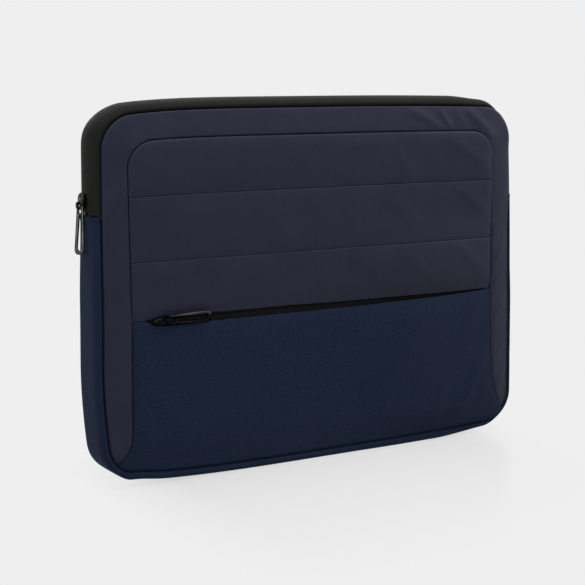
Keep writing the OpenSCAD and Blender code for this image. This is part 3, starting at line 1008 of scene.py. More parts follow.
panel_drop = (upper_lip(panel_x) - PANEL_LIP) * np.exp(-(panel_z - PANEL_LIP) / 12)
panel = np.stack([panel_x, -panel_height(panel_x, panel_z), panel_z + panel_drop], axis=-1)
panel_top = panel[-1:].copy()
panel_top[..., 1] += 1.6
panel = np.concatenate([rolled_edge(panel[0], -1)[::-1], panel, panel_top])
panel = with_wall(with_wall(panel, 0, by=1.6), -1, by=3.0)
panel[..., 2] = settle(panel[..., 0], panel[..., 2])
quilted_cloth = cloth_piece("quilted_cloth", panel, length_uv(panel), COATED)

# %% [markdown]
# ## Pocket panel
# Below the zip the front is a flat pocket of woven cloth. It has no quilting. It swells
# over the foot, its upper lip is rolled over the zip tape, and a few soft folds run
# down from its right end.

# %% Pocket cloth
POCKET_FOLDS = [
    ((168, 92), (128, 8), 6.0, 0.60, 3.0),
    ((163, 68), (135, 18), 3.6, 0.75, -2.0),
    ((116, 60), (110, 8), 5.0, 0.60),
    ((161, 124), (133, 80), 9.0, 0.95, -2.0),
    ((94, 118), (44, 30), 14.0, 0.9),
    ((-150, 70), (-120, 20), 9.0, 0.25),
    ((-40, 100), (-10, 40), 12.0, 0.22),
]


def pocket_sides(z):
    """The limits of the pocket: the inner line, and below its ends the outer seam."""
    left_line = np.vstack([INNER[0], INNER[1]])
    right_line = np.vstack([INNER[5], INNER[6]])[::-1]
    seam_left, seam_right = outline_sides(z)
    left = np.interp(z, left_line[:, 1], left_line[:, 0]) + 0.25
    right = np.interp(z, right_line[:, 1], right_line[:, 0]) - 0.25
    right -= 0.8 * smooth((z - 32) / 25)
    left = np.where(z > OUTER_LINE[0, 1], left, seam_left)
    return left, np.where(z > OUTER_LINE[-1, 1], right, seam_right)


foot_rows = SEAM_LOW + 34 * (1 - np.cos(np.linspace(0, np.pi / 2, 34)))
pocket_rows = np.concatenate([foot_rows, np.linspace(foot_rows[-1], POCKET_LIP, 60)[1:]])
left, right = pocket_sides(pocket_rows)
left[0], right[0] = FOOT_LEFT + SEAM_SHIFT, FOOT_RIGHT + SEAM_SHIFT
pocket_x, pocket_z = between((left, right), pocket_rows, ACROSS)
from_seam = gap_to(OUTLINE, pocket_x, pocket_z)
from_seam[0] = 0
from_inner = np.maximum(gap_to(INNER_LINE, pocket_x, pocket_z) - 0.25, 0)
pocket_high = front_height(from_seam) - roll(from_seam, 1.6) - roll(from_inner, 1.2)
pocket_high += 0.45 * (1 - np.exp(-from_inner / 4)) - 0.4 + 0.35 * padding(pocket_x, pocket_z)
pocket_high += folds(pocket_x, pocket_z, POCKET_FOLDS) * smooth(from_seam / 14)
pocket_high += 0.14 * waves(pocket_x, pocket_z, 8, 90) * smooth(from_seam / 30)
pocket_high += right_ridge(pocket_x, pocket_z) * smooth(from_seam / 20) - slit_dip(pocket_z)
full_foot = 1.6 * (1 - smooth(from_seam / 28)) * smooth(from_seam / 5)
pocket_high += full_foot * smooth((pocket_x - 90) / 60)
pocket_drop = (lower_lip(pocket_x) - POCKET_LIP) * np.exp((pocket_z - POCKET_LIP) / 12)
pocket = np.stack([pocket_x, -pocket_high, pocket_z + pocket_drop], axis=-1)
pocket_foot = pocket[:1].copy()
pocket_foot[..., 1] = -HIDDEN_EDGE
pocket = np.concatenate([pocket_foot, pocket, rolled_edge(pocket[-1], 1)])
pocket = with_wall(with_wall(pocket, 0, by=1.6), -1, by=3.0)
pocket[..., 2] = settle(pocket[..., 0], pocket[..., 2])
pocket_cloth = cloth_piece("pocket_cloth", pocket, length_uv(pocket), WOVEN)

# %% [markdown]
# ## Gusset and zip tapes
# A band as deep as the sleeve runs all the way round it and stands out past the seams.
# Below the ends of the zip it is woven cloth. Above, it is the two halves of the zip
# tape. All are swept along the seam outline with one rounded section. The section
# starts inside the seam, turns out round a bead, and swells to the middle. Each half of
# the tape turns in again where it meets the other half. On the right the front of the
# band is flatter and tucked in, so that the strip hides all but its edge.

# %% Section and sweep
ZIP_END = 205.5
BULGE = 7.0
ROUND_HALF = [
    (-0.28, -11.6), (-0.04, -12.2), (0.10, -12.9), (0.17, -13.8), (0.26, -14.5),
    (0.40, -14.6), (0.56, -13.8), (0.73, -12.0), (0.87, -9.0), (0.955, -5.4), (0.99, -2.6),
]
BOX_HALF = [
    (-0.28, -11.6), (-0.04, -12.2), (0.10, -12.9), (0.18, -13.9), (0.29, -14.9),
    (0.43, -15.3), (0.55, -15.1), (0.68, -14.5), (0.84, -13.7), (0.955, -11.5),
    (0.99, -8.0), (1.0, -3.5),
]
CHAIN_TURN = [(0.995, -1.3), (0.975, -0.62), (0.91, -0.3), (0.78, -0.24)]


def flow(points, count):
    """A smooth line through points, at even distances (Catmull-Rom)."""
    points = np.asarray(points, float)
    ends = np.vstack([2 * points[0] - points[1], points, 2 * points[-1] - points[-2]])
    t = np.linspace(0, 1, 24, endpoint=False)[:, None]
    parts = []
    for a, b, c, d in zip(ends[:-3], ends[1:-2], ends[2:-1], ends[3:]):
        curve = 2 * b + (c - a) * t + (2 * a - 5 * b + 4 * c - d) * t**2
        parts.append((curve + (3 * b - a - 3 * c + d) * t**3) / 2)
    return resample(np.vstack(parts + [points[-1:]]), count)


def mirrored(section):
    return [(share, -depth) for share, depth in section[::-1]]


def full_bulge(place, out):
    """The gusset's bulge by the direction that it faces. It is full round the left
    corners, on which the sleeve stands and the zip runs, and dies away at the lower right."""
    x, z = out.T
    wide, high = place.T
    left_corner = np.where(z < 0, 0.4 - 3.4 * z**2, 0.6 + 3.0 * x**2)
    right_corner = np.where(z < 0, 0.0, -1.8)
    bulge = BULGE + np.where(x < 0, left_corner, right_corner) * (2 * x * z) ** 2
    bulge += np.where(x < 0, 0.7, 0) * x**2
    bulge += np.where(z < 0, 0.7 + 0.6 * smooth(wide / 80), 2.8) * z**2
    bulge -= 3.9 * smooth((wide - 110) / 72) * smooth((60 - high) / 50)
    return bulge - 2.4 * smooth((wide - 131) / 36) * smooth((high - 230) / 40)


def right_front(out, y):
    """1 on the front half of the right side, and 0 on the left and the back."""
    return np.clip(out[:, :1], 0, 1) * smooth((8 - y) / 16)


def tuck(place, out, y):
    """How far the front half of the right side is tucked in behind the strip."""
    return right_front(out, y) * (1.9 + 0.2 * smooth((place[:, 1:] - 115) / 50))


def sweep(far, section, sink=0.0):
    """A section, given as shares of the full bulge and depths, along the seam. It may
    be one section, or one for each place."""
    place, out = seam_point(far)
    share, y = np.broadcast_to(section, (len(far), *section.shape[-2:])).transpose(2, 0, 1)
    high = place[:, 1:]
    flat = 0.5 * smooth((high - 25) / 40) + 0.5 * smooth((high - 110) / 65)
    flatter = np.minimum(share, 1 - (y / SEAM_DEPTH) ** 2)
    share = share + right_front(out, y) * flat * (flatter - share)
    lift = full_bulge(place, out)[:, None] * share - tuck(place, out, y)
    lift = lift - sink * smooth(share / 0.25)
    x, z = outwards(place, out, lift)
    z = np.maximum(settle(x, z), np.maximum(sink, 0))
    return np.stack([x, y, z], axis=-1)


def sweep_uv(far, section):
    along, over = np.meshgrid(far, lengths(section * [BULGE, 1.0]), indexing="ij")
    return np.stack([along, over], axis=-1) * MM


print("the gusset stands out", BULGE, "mm and more")

# %% Gusset and tapes
ZIP_LEFT = seam_far(-SEAM_HALF, ZIP_END)
ZIP_RIGHT = seam_far(SEAM_HALF, ZIP_END)
GUSSET_ROUND = flow(ROUND_HALF + [(1.0, 0)] + mirrored(ROUND_HALF), 61)
GUSSET_BOX = flow(BOX_HALF + [(1.0, 0)] + mirrored(BOX_HALF), 61)


def gusset_section(far):
    """Round where the zip ends, and filling out to a box towards the left and the foot."""
    place, out = seam_point(far)
    boxed = smooth((ZIP_END - place[:, 1]) / 70) * (1 - np.clip(out[:, 0], 0, 1))
    boxed = boxed[:, None, None]
    return GUSSET_ROUND * (1 - boxed) + GUSSET_BOX * boxed


gusset_far = np.linspace(ZIP_RIGHT, ZIP_LEFT + WAY_ROUND, 640)
hem = np.array([0.0, 0.15, 0.4, 0.8, 1.3, 2.0, 2.8])
gusset_ends = gusset_far[0] + hem, gusset_far[-1] - hem[::-1]
gusset_far = np.concatenate([gusset_ends[0], gusset_far[1:-1], gusset_ends[1]])
from_hem = np.minimum(gusset_far - gusset_far[0], gusset_far[-1] - gusset_far)
hem_sink = roll(from_hem, 0.8) - 0.45 * (1 - smooth((from_hem - 0.8) / 3.2))
gusset = sweep(gusset_far, gusset_section(gusset_far), hem_sink[:, None])
turned_end = sweep(gusset_far[[0, -1]], GUSSET_ROUND, 1.5)
gusset = np.concatenate([turned_end[:1], gusset, turned_end[1:]])
gusset_uv = sweep_uv(gusset_far, GUSSET_BOX)[..., ::-1]
gusset_uv = np.concatenate([gusset_uv[:1], gusset_uv, gusset_uv[-1:]])
gusset_cloth = cloth_piece("gusset_cloth", gusset, gusset_uv, WOVEN)

TAPE_SECTION = flow(ROUND_HALF + CHAIN_TURN, 40) * [1, 0.97]
TAPE_SINK = 1.1
BACK_SECTION = TAPE_SECTION * [1, -1]
tail = np.array([-1.2, -0.6, 0, 0.4, 0.8, 1.2, 1.7, 2.3])
tape_far = np.linspace(ZIP_LEFT + 3, ZIP_RIGHT - 3, 516)
tape_far = np.concatenate([ZIP_LEFT + tail, tape_far, ZIP_RIGHT - tail[::-1]])
from_end = np.minimum(tape_far - ZIP_LEFT, ZIP_RIGHT - tape_far)[:, None]
tape_sink = TAPE_SINK + 1.5 * (1 - smooth(from_end / 1.9))
tape_uv = sweep_uv(tape_far, TAPE_SECTION)
tape_front, tape_back = [sweep(tape_far, s, tape_sink) for s in (TAPE_SECTION, BACK_SECTION)]
tape_front_cloth = cloth_piece("tape_front_cloth", tape_front, tape_uv, ZIP_TAPE)
tape_back_cloth = cloth_piece("tape_back_cloth", tape_back, tape_uv, ZIP_TAPE)

# %% [markdown]
# ## Back
# The back is one plain panel of the woven cloth over foam, swelling a little from its
# seam, with slow unevenness where the foam has taken a set.

# %% Back cloth
back_lift = 0.5 - 0.5 * np.cos(np.linspace(0, np.pi, 150))
back_rows = SEAM_LOW + (SEAM_TOP - SEAM_LOW) * back_lift
back_x, back_z = between(sheet_sides(back_rows), back_rows, ACROSS)
from_seam = gap_to(OUTLINE, back_x, back_z)
from_seam[[0, -1]] = 0
from_seam[:, [0, -1]] = 0
back_high = SEAM_DEPTH + 0.85 * (front_height(from_seam) - SEAM_DEPTH) - roll(from_seam, 1.2)
back_high += 0.2 * waves(back_x, back_z, 21, 110) * smooth(from_seam / 30)
back = settled(back_x, back_high, back_z)
back_ends = back[[0, -1]].copy()
back_ends[..., 1] = HIDDEN_EDGE
back = np.concatenate([back_ends[:1], back, back_ends[1:]])
back = with_wall(with_wall(back, 0, to=HIDDEN_EDGE), -1, to=HIDDEN_EDGE)
back_cloth = cloth_piece("back_cloth", back, length_uv(back), WOVEN)

# %% [markdown]
# ## Inside
# A grey lining covers the foam of the front, the back and the gusset, and a black tape
# binds the raw edges where they are sewn together. They show when the flap is folded
# open, so they are real pieces in their own places, a little slack like any lining.

# %% Linings
LINING_INSET = 1.2
FRONT_LINING_Y, BACK_LINING_Y = -8.85, 13.2


def lining_sheet(name, depth, slack, seed):
    up = 0.5 - 0.5 * np.cos(np.linspace(0, np.pi, 90))
    rows = SEAM_LOW + LINING_INSET + (SEAM_TOP - SEAM_LOW - 2 * LINING_INSET) * up
    across = np.sin(np.linspace(-np.pi / 2, np.pi / 2, 120))
    x, z = between(sheet_sides(rows), rows, across, LINING_INSET)
    free = smooth((gap_to(OUTLINE, x, z) - 1) / 25)
    y = depth + slack * free * (0.6 + 0.4 * waves(x, z, seed, 60))
    points = settled(x, y, z)
    return cloth_piece(name, points, points[..., [0, 2]] * MM, LINING)


front_lining_cloth = lining_sheet("front_lining_cloth", FRONT_LINING_Y, 0.7, 41)
back_lining_cloth = lining_sheet("back_lining_cloth", BACK_LINING_Y, -0.7, 42)


def flat_band(name, far, share, depths, finish, thick):
    """A band along the seam at one share of the bulge, between two depths."""
    section = np.column_stack([np.full(14, share), np.linspace(*depths, 14)])
    return cloth_piece(name, sweep(far, section), sweep_uv(far, section), finish, thick)


lining_ends = seam_far(SEAM_HALF, 196.5), seam_far(-SEAM_HALF, 196.5) + WAY_ROUND
lining_far = np.linspace(*lining_ends, 300)
gusset_lining_cloth = flat_band(
    "gusset_lining_cloth", lining_far, 0.4, (FRONT_LINING_Y, 12.6), LINING, 0.6
)

# %% Bindings and end tabs


def bound_edge(name, far, inset, depths):
    """Tape folded round a raw edge: a flat tube that follows the seam inside it."""
    place, out = seam_point(far)
    angle = np.linspace(0, TAU, 15)
    middle, half = np.mean(depths), np.ptp(depths) / 2
    x, z = outwards(place, out, -inset + 0.85 * np.cos(angle))
    points = settled(x, middle + half * np.sin(angle), z)
    section = np.column_stack([0.12 * np.cos(angle), half * np.sin(angle)])
    mesh = grid_mesh(name, points, sweep_uv(far, section))
    with opened(mesh) as work:
        bmesh.ops.recalc_face_normals(work, faces=work.faces)
    return finished(new_piece(name, mesh, BINDING))


round_far = np.linspace(0, WAY_ROUND, 560)
binding_front_cloth = bound_edge("binding_front_cloth", round_far, 1.05, (-14.0, -8.95))
binding_back_cloth = bound_edge("binding_back_cloth", round_far, 1.05, (13.25, 14.1))

tabs = []
for name, middle, way in (("end_tab_left", ZIP_LEFT, 1), ("end_tab_right", ZIP_RIGHT, -1)):
    tab_far = middle + way * np.linspace(-8.0, 1.1, 8)
    tabs.append(flat_band(name, tab_far, 0.86, (-8.4, 8.4), BINDING, 0.7))

# %% [markdown]
# ## Pocket zip
# Behind the lips of the pocket lie the two halves of a narrower zip tape.

# %% Pocket tapes
POCKET_TAPE_Y = -16.7


def pocket_tape(name, low, high):
    x, z = np.meshgrid(np.linspace(-162, 162, 160), np.linspace(low, high, 10))
    points = np.stack([x, np.full(x.shape, POCKET_TAPE_Y), z], axis=-1)
    return cloth_piece(name, points, np.stack([x, z], axis=-1) * MM, SHADED_POCKET_TAPE)


pocket_tape_top = pocket_tape("pocket_tape_top", SLIT + 0.15, SLIT + 12)
pocket_tape_foot = pocket_tape("pocket_tape_foot", SLIT - 12, SLIT - 0.15)

# %% [markdown]
# ## Rows of teeth and stitches
# A zip's teeth and a seam's stitches are one small shape repeated along a line. A
# Geometry Nodes tree does that: it turns a line of points into a curve, puts a point at
# every pitch, sets a rounded bead on each, turned along the line and away from the
# cloth, and makes the beads real. The line carries the direction away from the cloth
# as an attribute.

# %% Row of beads


def bead_tree(name, finish):
    tree = bpy.data.node_groups.new(name, "GeometryNodeTree")
    face = tree.interface
    face.new_socket("Geometry", in_out="INPUT", socket_type="NodeSocketGeometry")
    for size in ("Pitch", "Long", "Wide", "High"):
        face.new_socket(size, in_out="INPUT", socket_type="NodeSocketFloat")
    face.new_socket("Geometry", in_out="OUTPUT", socket_type="NodeSocketGeometry")
    begin = Wire(tree, tree.nodes.new("NodeGroupInput").outputs["Geometry"])
    sizes = begin.socket.node.outputs[1:5]
    pitch, long, wide, high = [Wire(tree, size) for size in sizes]
    line = begin.node("GeometryNodeMeshToCurve", None, {"Mesh": begin})
    every = {"Curve": line, "Length": pitch}
    line = line.node("GeometryNodeResampleCurve", {"mode": "LENGTH"}, every)
    ahead = line.node("GeometryNodeInputTangent")
    vector = {"data_type": "FLOAT_VECTOR"}
    away = line.node("GeometryNodeInputNamedAttribute", vector, {"Name": "away"})
    axes = {"primary_axis": "X", "secondary_axis": "Z"}
    both = {"Primary Axis": ahead, "Secondary Axis": away}
    turned = line.node("FunctionNodeAxesToRotation", axes, both)
    ball = {"Segments": 8, "Rings": 5, "Radius": 0.5}
    bead = line.node("GeometryNodeMeshUVSphere", None, ball)
    size = line.node("ShaderNodeCombineXYZ", None, {"X": long, "Y": wide, "Z": high})
    bead = line.node("GeometryNodeTransform", None, {"Geometry": bead, "Scale": size})
    placed = {"Points": line, "Instance": bead, "Rotation": turned}
    row = line.node("GeometryNodeInstanceOnPoints", None, placed)
    row = line.node("GeometryNodeRealizeInstances", None, {"Geometry": row})
    row = line.node("GeometryNodeSetMaterial", None, {"Geometry": row, "Material": finish})
    tree.links.new(row.socket, tree.nodes.new("NodeGroupOutput").inputs[0])
    return tree


def bead_row(name, tree, lines, sizes, finish):
    """Beads along lines. A line is two arrays: its points in millimetres, and away."""
    mesh = bpy.data.meshes.new(name)
    points = np.vstack([line for line, _ in lines]) * MM
    away = np.vstack([direction for _, direction in lines])
    edges, start = [], 0
    for line, _ in lines:
        edges += [(k, k + 1) for k in range(start, start + len(line) - 1)]
        start += len(line)
    mesh.from_pydata(points.tolist(), edges, [])
    held = mesh.attributes.new("away", "FLOAT_VECTOR", "POINT")
    held.data.foreach_set("vector", away.astype(np.float32).ravel())
    piece = new_piece(name, mesh, finish)
    row = piece.modifiers.new("row", "NODES")
    row.node_group = tree
    for socket in tree.interface.items_tree:
        if socket.in_out == "INPUT" and socket.name in sizes:
            row[socket.identifier] = sizes[socket.name] * MM
    apply_modifiers(piece)
    return finished(piece)


def section_line(far, section, at, sink):
    """A line along the swept section at the section point nearest to a depth."""
    k = int(np.argmin(np.abs(section[:, 1] - at)))
    run = (section[k + 1] - section[k - 1]) * [BULGE, 1.0]
    run = run / np.hypot(*run)
    sign = -1 if run[1] > 0 else 1
    normal = np.array([run[1], -run[0]]) * -sign
    _, out = seam_point(far)
    away = np.insert(out * normal[0], 1, normal[1], axis=1)
    return sweep(far, section[[k]], sink)[:, 0], away


print("bead helpers ready")

# %% Zip teeth
TEETH = bead_tree("teeth", COIL)
TOOTH = {"Pitch": 1.25, "Long": 0.75, "Wide": 2.1, "High": 1.2}
HALF_CHAIN = 1.3
POCKET_TEETH_Y = -15.4
FORWARD = (0, -1, 0)


def coil_line(depth):
    far = np.linspace(ZIP_LEFT + 2, ZIP_RIGHT - 2, 500)
    place, out = seam_point(far)
    lift = full_bulge(place, out)[:, None] - 1.7 - tuck(place, out, depth)
    x, z = outwards(place, out, lift)
    return settled(x, depth, z)[:, 0], np.insert(out, 1, 0, axis=1)


def pocket_coil_line(z):
    points = np.array([(x, POCKET_TEETH_Y, z) for x in np.linspace(-160, 160, 60)])
    return points, np.tile(FORWARD, (len(points), 1))


def teeth(name, line):
    return bead_row(name, TEETH, [line], TOOTH, COIL)


coil_front = teeth("coil_front", coil_line(-HALF_CHAIN))
coil_back = teeth("coil_back", coil_line(HALF_CHAIN))
pocket_teeth_top = teeth("pocket_teeth_top", pocket_coil_line(SLIT + HALF_CHAIN))
pocket_teeth_foot = teeth("pocket_teeth_foot", pocket_coil_line(SLIT - HALF_CHAIN))

# %% Stitches
STITCHES = bead_tree("stitches", THREAD)
DARK_STITCHES = bead_tree("dark_stitches", DARK_THREAD)
STITCH = {"Pitch": 3.1, "Long": 2.5, "Wide": 0.5, "High": 0.4}
FLAT_STITCH = {**STITCH, "Wide": 0.4, "High": 0.22}


def quilt_line(z):
    left, right = panel_sides(z)
    x = np.linspace(left + 1, right - 1, 200)
    high = panel_height(x, np.full(200, z)) + 0.25
    return settled(x, -high, z), np.tile(FORWARD, (200, 1))


def tape_seam(name, section, at):
    far = np.linspace(ZIP_LEFT + 3, ZIP_RIGHT - 3, 500)
    line = section_line(far, section, at, TAPE_SINK)
    return bead_row(name, DARK_STITCHES, [line], FLAT_STITCH, DARK_THREAD)


quilt_lines = [quilt_line(QUILT_LOW), quilt_line(FOLD)]
quilt_stitches = bead_row("quilt_stitches", STITCHES, quilt_lines, STITCH, THREAD)
tape_stitches = tape_seam("tape_stitches", TAPE_SECTION, -12.6)
tape_back_stitches = tape_seam("tape_back_stitches", BACK_SECTION, 12.6)
hem_lines = []
for middle, way in ((ZIP_LEFT, -1), (ZIP_RIGHT, 1)):
    hem_far = np.array([middle + 3.6 * way])
    line = sweep(hem_far, GUSSET_ROUND, -0.1)[0][10:-10]
    away = np.insert(seam_point(hem_far)[1], 1, 0, axis=1)
    hem_lines.append((line, np.tile(away, (len(line), 1))))
hem_stitches = bead_row("hem_stitches", STITCHES, hem_lines, FLAT_STITCH, THREAD)

# %% [markdown]
# ## Sliders, crowns, pulls and stops
# The metal parts keep the CAD shapes, but cast metal has no sharp edges. Each is copied,
# its loose triangles are merged and joined into flat faces, and a Bevel modifier rounds
# its edges so that they catch the light. Corners that the rounding leaves on top of one
# another are welded.

# %% Metal parts


def cast_part(node, name, radius, finish):
    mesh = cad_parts[node].data.copy()
    mesh.name = name
    mesh.materials.clear()
    with opened(mesh) as work:
        bmesh.ops.remove_doubles(work, verts=work.verts, dist=1e-6)
        flat = {"angle_limit": math.radians(1), "verts": work.verts, "edges": work.edges}
        bmesh.ops.dissolve_limit(work, **flat)
    piece = new_piece(name, mesh, finish)
    edge = piece.modifiers.new("edge", "BEVEL")
    edge.width = radius * MM
    edge.segments = 3
    edge.limit_method = "ANGLE"
    edge.angle_limit = math.radians(35)
    apply_modifiers(piece)
    weld(piece.data, 1e-5)
    return finished(piece)


CAST = {
    "main_slider_body": ("main_slider", 0.2),
    "main_slider_crown": ("main_slider", 0.35),
    "main_pull": ("main_pull", 0.7),
    "pocket_slider_body": ("pocket_slider", 0.2),
    "pocket_slider_crown": ("pocket_slider", 0.35),
    "pocket_pull": ("pocket_pull", 0.7),
    "zip_stops": ("sleeve", 0.15),
    "pocket_zip_stops": ("sleeve", 0.15),
}
cast_parts = {}
for node, (_, radius) in CAST.items():
    # The main pull and the upper bar of the pocket pull get painted highlight.
    finish = {"main_pull": PAINTED_HIGHLIGHT_METAL, "pocket_pull": HIGHLIGHT_BAR}.get(node, METAL)
    cast_parts[node] = cast_part(node, "cast_" + node, radius, finish)

# %% [markdown]
# The pocket pull doesn't lie flat: it leans into the slit, so its upper bar stands out
# and its lower bar sinks. The main pull hangs from a narrow eye and widens to its foot.
# The domes are the rounded noses of the sliders. The cap is a small raised oval on the
# main one. It and the main dome are lighter than the plated metal, as painted highlight.

# %% Lean, taper and domes
PULL_AXIS = Vector((0, -20.15, SLIT)) * MM
PULL_LEAN = math.radians(20)
PULL_FOOT, PULL_LONG = 177, 35
there, back_again = Matrix.Translation(-PULL_AXIS), Matrix.Translation(PULL_AXIS)
lean = Matrix.Rotation(PULL_LEAN, 4, "X")
cast_parts["pocket_pull"].data.transform(back_again @ lean @ there)
for vert in cast_parts["main_pull"].data.vertices:
    narrow = min(max((vert.co.z / MM - PULL_FOOT) / PULL_LONG, 0), 1)
    vert.co.x += 0.95 * narrow * MM
    vert.co.y -= math.copysign(min(1.6 * narrow, abs(vert.co.y / MM)), vert.co.y) * MM


def slider_dome(name, middle, half, finish=METAL):
    """A rounded form on a slider, given by its middle and its half sizes."""
    mesh = bpy.data.meshes.new(name)
    with opened(mesh) as work:
        bmesh.ops.create_uvsphere(work, u_segments=28, v_segments=16, radius=1.0)
        for vert in work.verts:
            vert.co = Vector([(m + h * c) * MM for m, h, c in zip(middle, half, vert.co)])
    return finished(new_piece(name, mesh, finish))


# Painted highlight: the main dome and its cap are lighter than the other metal.
main_dome = slider_dome("main_dome", (-197.9, 0, 217.4), (3.1, 3.4, 5.0), PAINTED_LIT_METAL)
main_highlight_cap = slider_dome("main_highlight_cap", (-199.4, -1.0, 216.9), (1.6, 1.9, 3.0), PAINTED_HIGHLIGHT_METAL)
pocket_dome = slider_dome("pocket_dome", (-146.2, -18.5, 125.2), (5.6, 2.2, 2.5))

# %% [markdown]
# ## Studio
# A pale floor, a pale surround and soft lamps: one large one overhead, one on each side,
# one behind and a gentle fill beside the camera. The camera, and rays that mirror or
# pass through a surface, see the surround at one even tone. Under the sleeve the floor
# also shows its own matt surface, which takes the shadow. That matt surface is darker
# than the surround, so the patch under the sleeve is painted shade as well as real
# shadow. Just in front of it lies a little polish.

# %% Studio
PALE = (0.863, 0.863, 0.863, 1)
world = bpy.data.worlds.new("studio")
scene.world = world
world.use_nodes = True
sky = world.node_tree
sky.nodes.clear()


def seen_directly(tree):
    """1 for rays from the camera, mirrors and glass, and 0 for scattered light."""
    paths = tree.nodes.new("ShaderNodeLightPath").outputs
    names = ("Is Camera Ray", "Is Glossy Ray", "Is Transmission Ray")
    camera_ray, mirror_ray, glass_ray = [Wire(tree, paths[name]) for name in names]
    return (camera_ray + mirror_ray + glass_ray).clamp()


shown = seen_directly(sky)
seen_sky = shown.node("ShaderNodeBackground", None, {"Color": PALE, "Strength": 1.0})
soft_sky = shown.node("ShaderNodeBackground", None, {"Color": PALE, "Strength": 0.20})
mixed = shown.node("ShaderNodeMixShader", None, {0: shown, 1: soft_sky, 2: seen_sky})
sky.links.new(mixed.socket, sky.nodes.new("ShaderNodeOutputWorld").inputs["Surface"])

floor_mesh = bpy.data.meshes.new("floor")
floor_mesh.from_pydata([(-9, -9, 0), (9, -9, 0), (9, 9, 0), (-9, 9, 0)], [], [(0, 1, 2, 3)])
floor_finish = bpy.data.materials.new("pale_floor")
floor_finish.use_nodes = True
ground = floor_finish.node_tree
ground.nodes.clear()
spot = Wire(ground, ground.nodes.new("ShaderNodeTexCoord").outputs["Object"])
split = ground.nodes.new("ShaderNodeSeparateXYZ")
ground.links.new(spot.socket, split.inputs[0])
side, ahead, _ = [Wire(ground, output) for output in split.outputs]
# Painted shade: near the sleeve the floor shows more of its matt surface, which is darker than
# the surround, so the patch is darker even where no shadow falls.
near = (1 + (ahead + 0.015) / 0.26).clamp() * (1.25 - ahead / 0.08).clamp()
near = near * ((0.200 - side.abs()) / 0.07).clamp()
matt = spot.node("ShaderNodeBsdfDiffuse", None, {"Color": (0.42, 0.42, 0.42, 1)})
glow = spot.node("ShaderNodeEmission", None, {"Color": PALE, "Strength": 1.0})
even = seen_directly(ground) * (1 - near * 0.22)
surface = spot.node("ShaderNodeMixShader", None, {0: even, 1: matt, 2: glow})
polish = spot.node("ShaderNodeBsdfGlossy", None, {"Color": (1, 1, 1, 1), "Roughness": 0.22})
shiny = near * (0.5 - ahead / 0.03).clamp() * 0.10
surface = spot.node("ShaderNodeMixShader", None, {0: shiny, 1: surface, 2: polish})
shown = ground.nodes.new("ShaderNodeOutputMaterial")
ground.links.new(surface.socket, shown.inputs["Surface"])
floor = new_piece("floor", floor_mesh, floor_finish)
print("floor and surround made")

# %% Lamps


def lamp(name, place, target, size, power):
    data = bpy.data.lights.new(name, "AREA")
    data.shape = "RECTANGLE"
    data.size, data.size_y = size
    data.energy = power
    made = bpy.data.objects.new(name, data)
    scene.collection.objects.link(made)
    made.location = place
    towards = Vector(target) - Vector(place)
    made.rotation_euler = towards.to_track_quat("-Z", "Y").to_euler()


lamp("top_lamp", (0.1, -0.25, 1.7), (0, 0, 0.15), (1.6, 1.2), 40)
lamp("left_lamp", (-1.7, 0.3, 0.7), (0, 0, 0.15), (0.7, 0.9), 11)
lamp("right_lamp", (3.6, -0.6, 1.75), (0, 0, 0.15), (1.35, 1.6), 74)
lamp("back_lamp", (0.3, 1.9, 1.3), (0, 0, 0.2), (1.4, 1.0), 14)
lamp("fill_lamp", (-0.9, -1.9, 1.1), (0, 0, 0.15), (1.2, 1.0), 19)
print("studio lit")

# %% [markdown]
# ## Bodies
# Pieces that cross the fold keep their places, with their transforms baked in. The
# others ride on one body. Each piece names the CAD solids that it stands for, which are
# hidden.


def dress(piece, body, slot, *nodes):
    """Fixes a piece to its body and hides the CAD solids that it stands for. A piece on the
    body named fold stays where it is, with its transform baked into its mesh.
    """
    if body == "fold":
        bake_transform(piece)
    else:
        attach(piece, body)
    if nodes:
        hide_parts(*nodes)


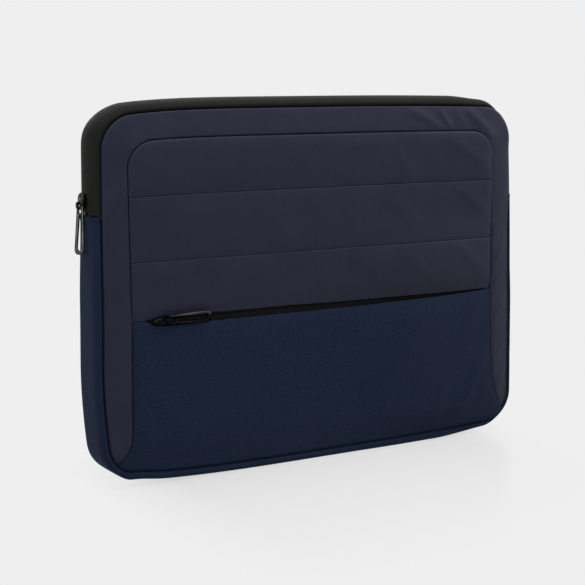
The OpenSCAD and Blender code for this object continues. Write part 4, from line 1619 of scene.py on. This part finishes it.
STRIPS = "flap_frame", "side_strip_left", "side_strip_right"
BANDS = "quilt_band_top", "quilt_band_middle", "quilt_band_lower"
FRONT_INSIDE = "front_lining", "flap_lining", "front_foam", "flap_foam"
dress(frame_cloth, "fold", "coated_fabric", *STRIPS)
dress(quilted_cloth, "fold", "coated_fabric", *BANDS, "front_wadding", "flap_wadding")
dress(quilt_stitches, "fold", "coated_fabric")
dress(pocket_cloth, "sleeve", "woven_fabric", "pocket_panel", "pocket_backing")
dress(gusset_cloth, "sleeve", "woven_fabric", "lower_gusset", "gusset_foam")
dress(hem_stitches, "sleeve", "woven_fabric")
dress(back_cloth, "sleeve", "woven_fabric", "back_panel", "back_foam")
dress(tape_front_cloth, "fold", "zip_tape", "zip_tape_front", "zip_tape_tails")
dress(tape_back_cloth, "sleeve", "zip_tape", "zip_tape_back")
dress(tape_stitches, "fold", "zip_tape")
dress(tape_back_stitches, "sleeve", "zip_tape")
dress(coil_front, "fold", "zip_coil", "zip_coil_front", "zip_coil_tails")
dress(coil_back, "sleeve", "zip_coil", "zip_coil_back")
dress(front_lining_cloth, "fold", "lining_fabric", *FRONT_INSIDE)
dress(back_lining_cloth, "sleeve", "lining_fabric", "back_lining")
dress(gusset_lining_cloth, "sleeve", "lining_fabric", "gusset_lining")
dress(binding_front_cloth, "fold", "binding_tape", "seam_binding_front", "flap_binding")
dress(binding_back_cloth, "sleeve", "binding_tape", "seam_binding_back")
dress(tabs[0], "sleeve", "binding_tape", "zip_end_tabs")
dress(tabs[1], "sleeve", "binding_tape")
dress(pocket_tape_top, "sleeve", "zip_tape", "pocket_tape_upper")
dress(pocket_tape_foot, "sleeve", "zip_tape", "pocket_tape_lower")
dress(pocket_teeth_top, "sleeve", "zip_coil", "pocket_coil_upper")
dress(pocket_teeth_foot, "sleeve", "zip_coil", "pocket_coil_lower")
for node, (body, _) in CAST.items():
    dress(cast_parts[node], body, "dark_metal", node)
dress(main_dome, "main_slider", "dark_metal")
dress(main_highlight_cap, "main_slider", "dark_metal")
dress(pocket_dome, "pocket_slider", "dark_metal")
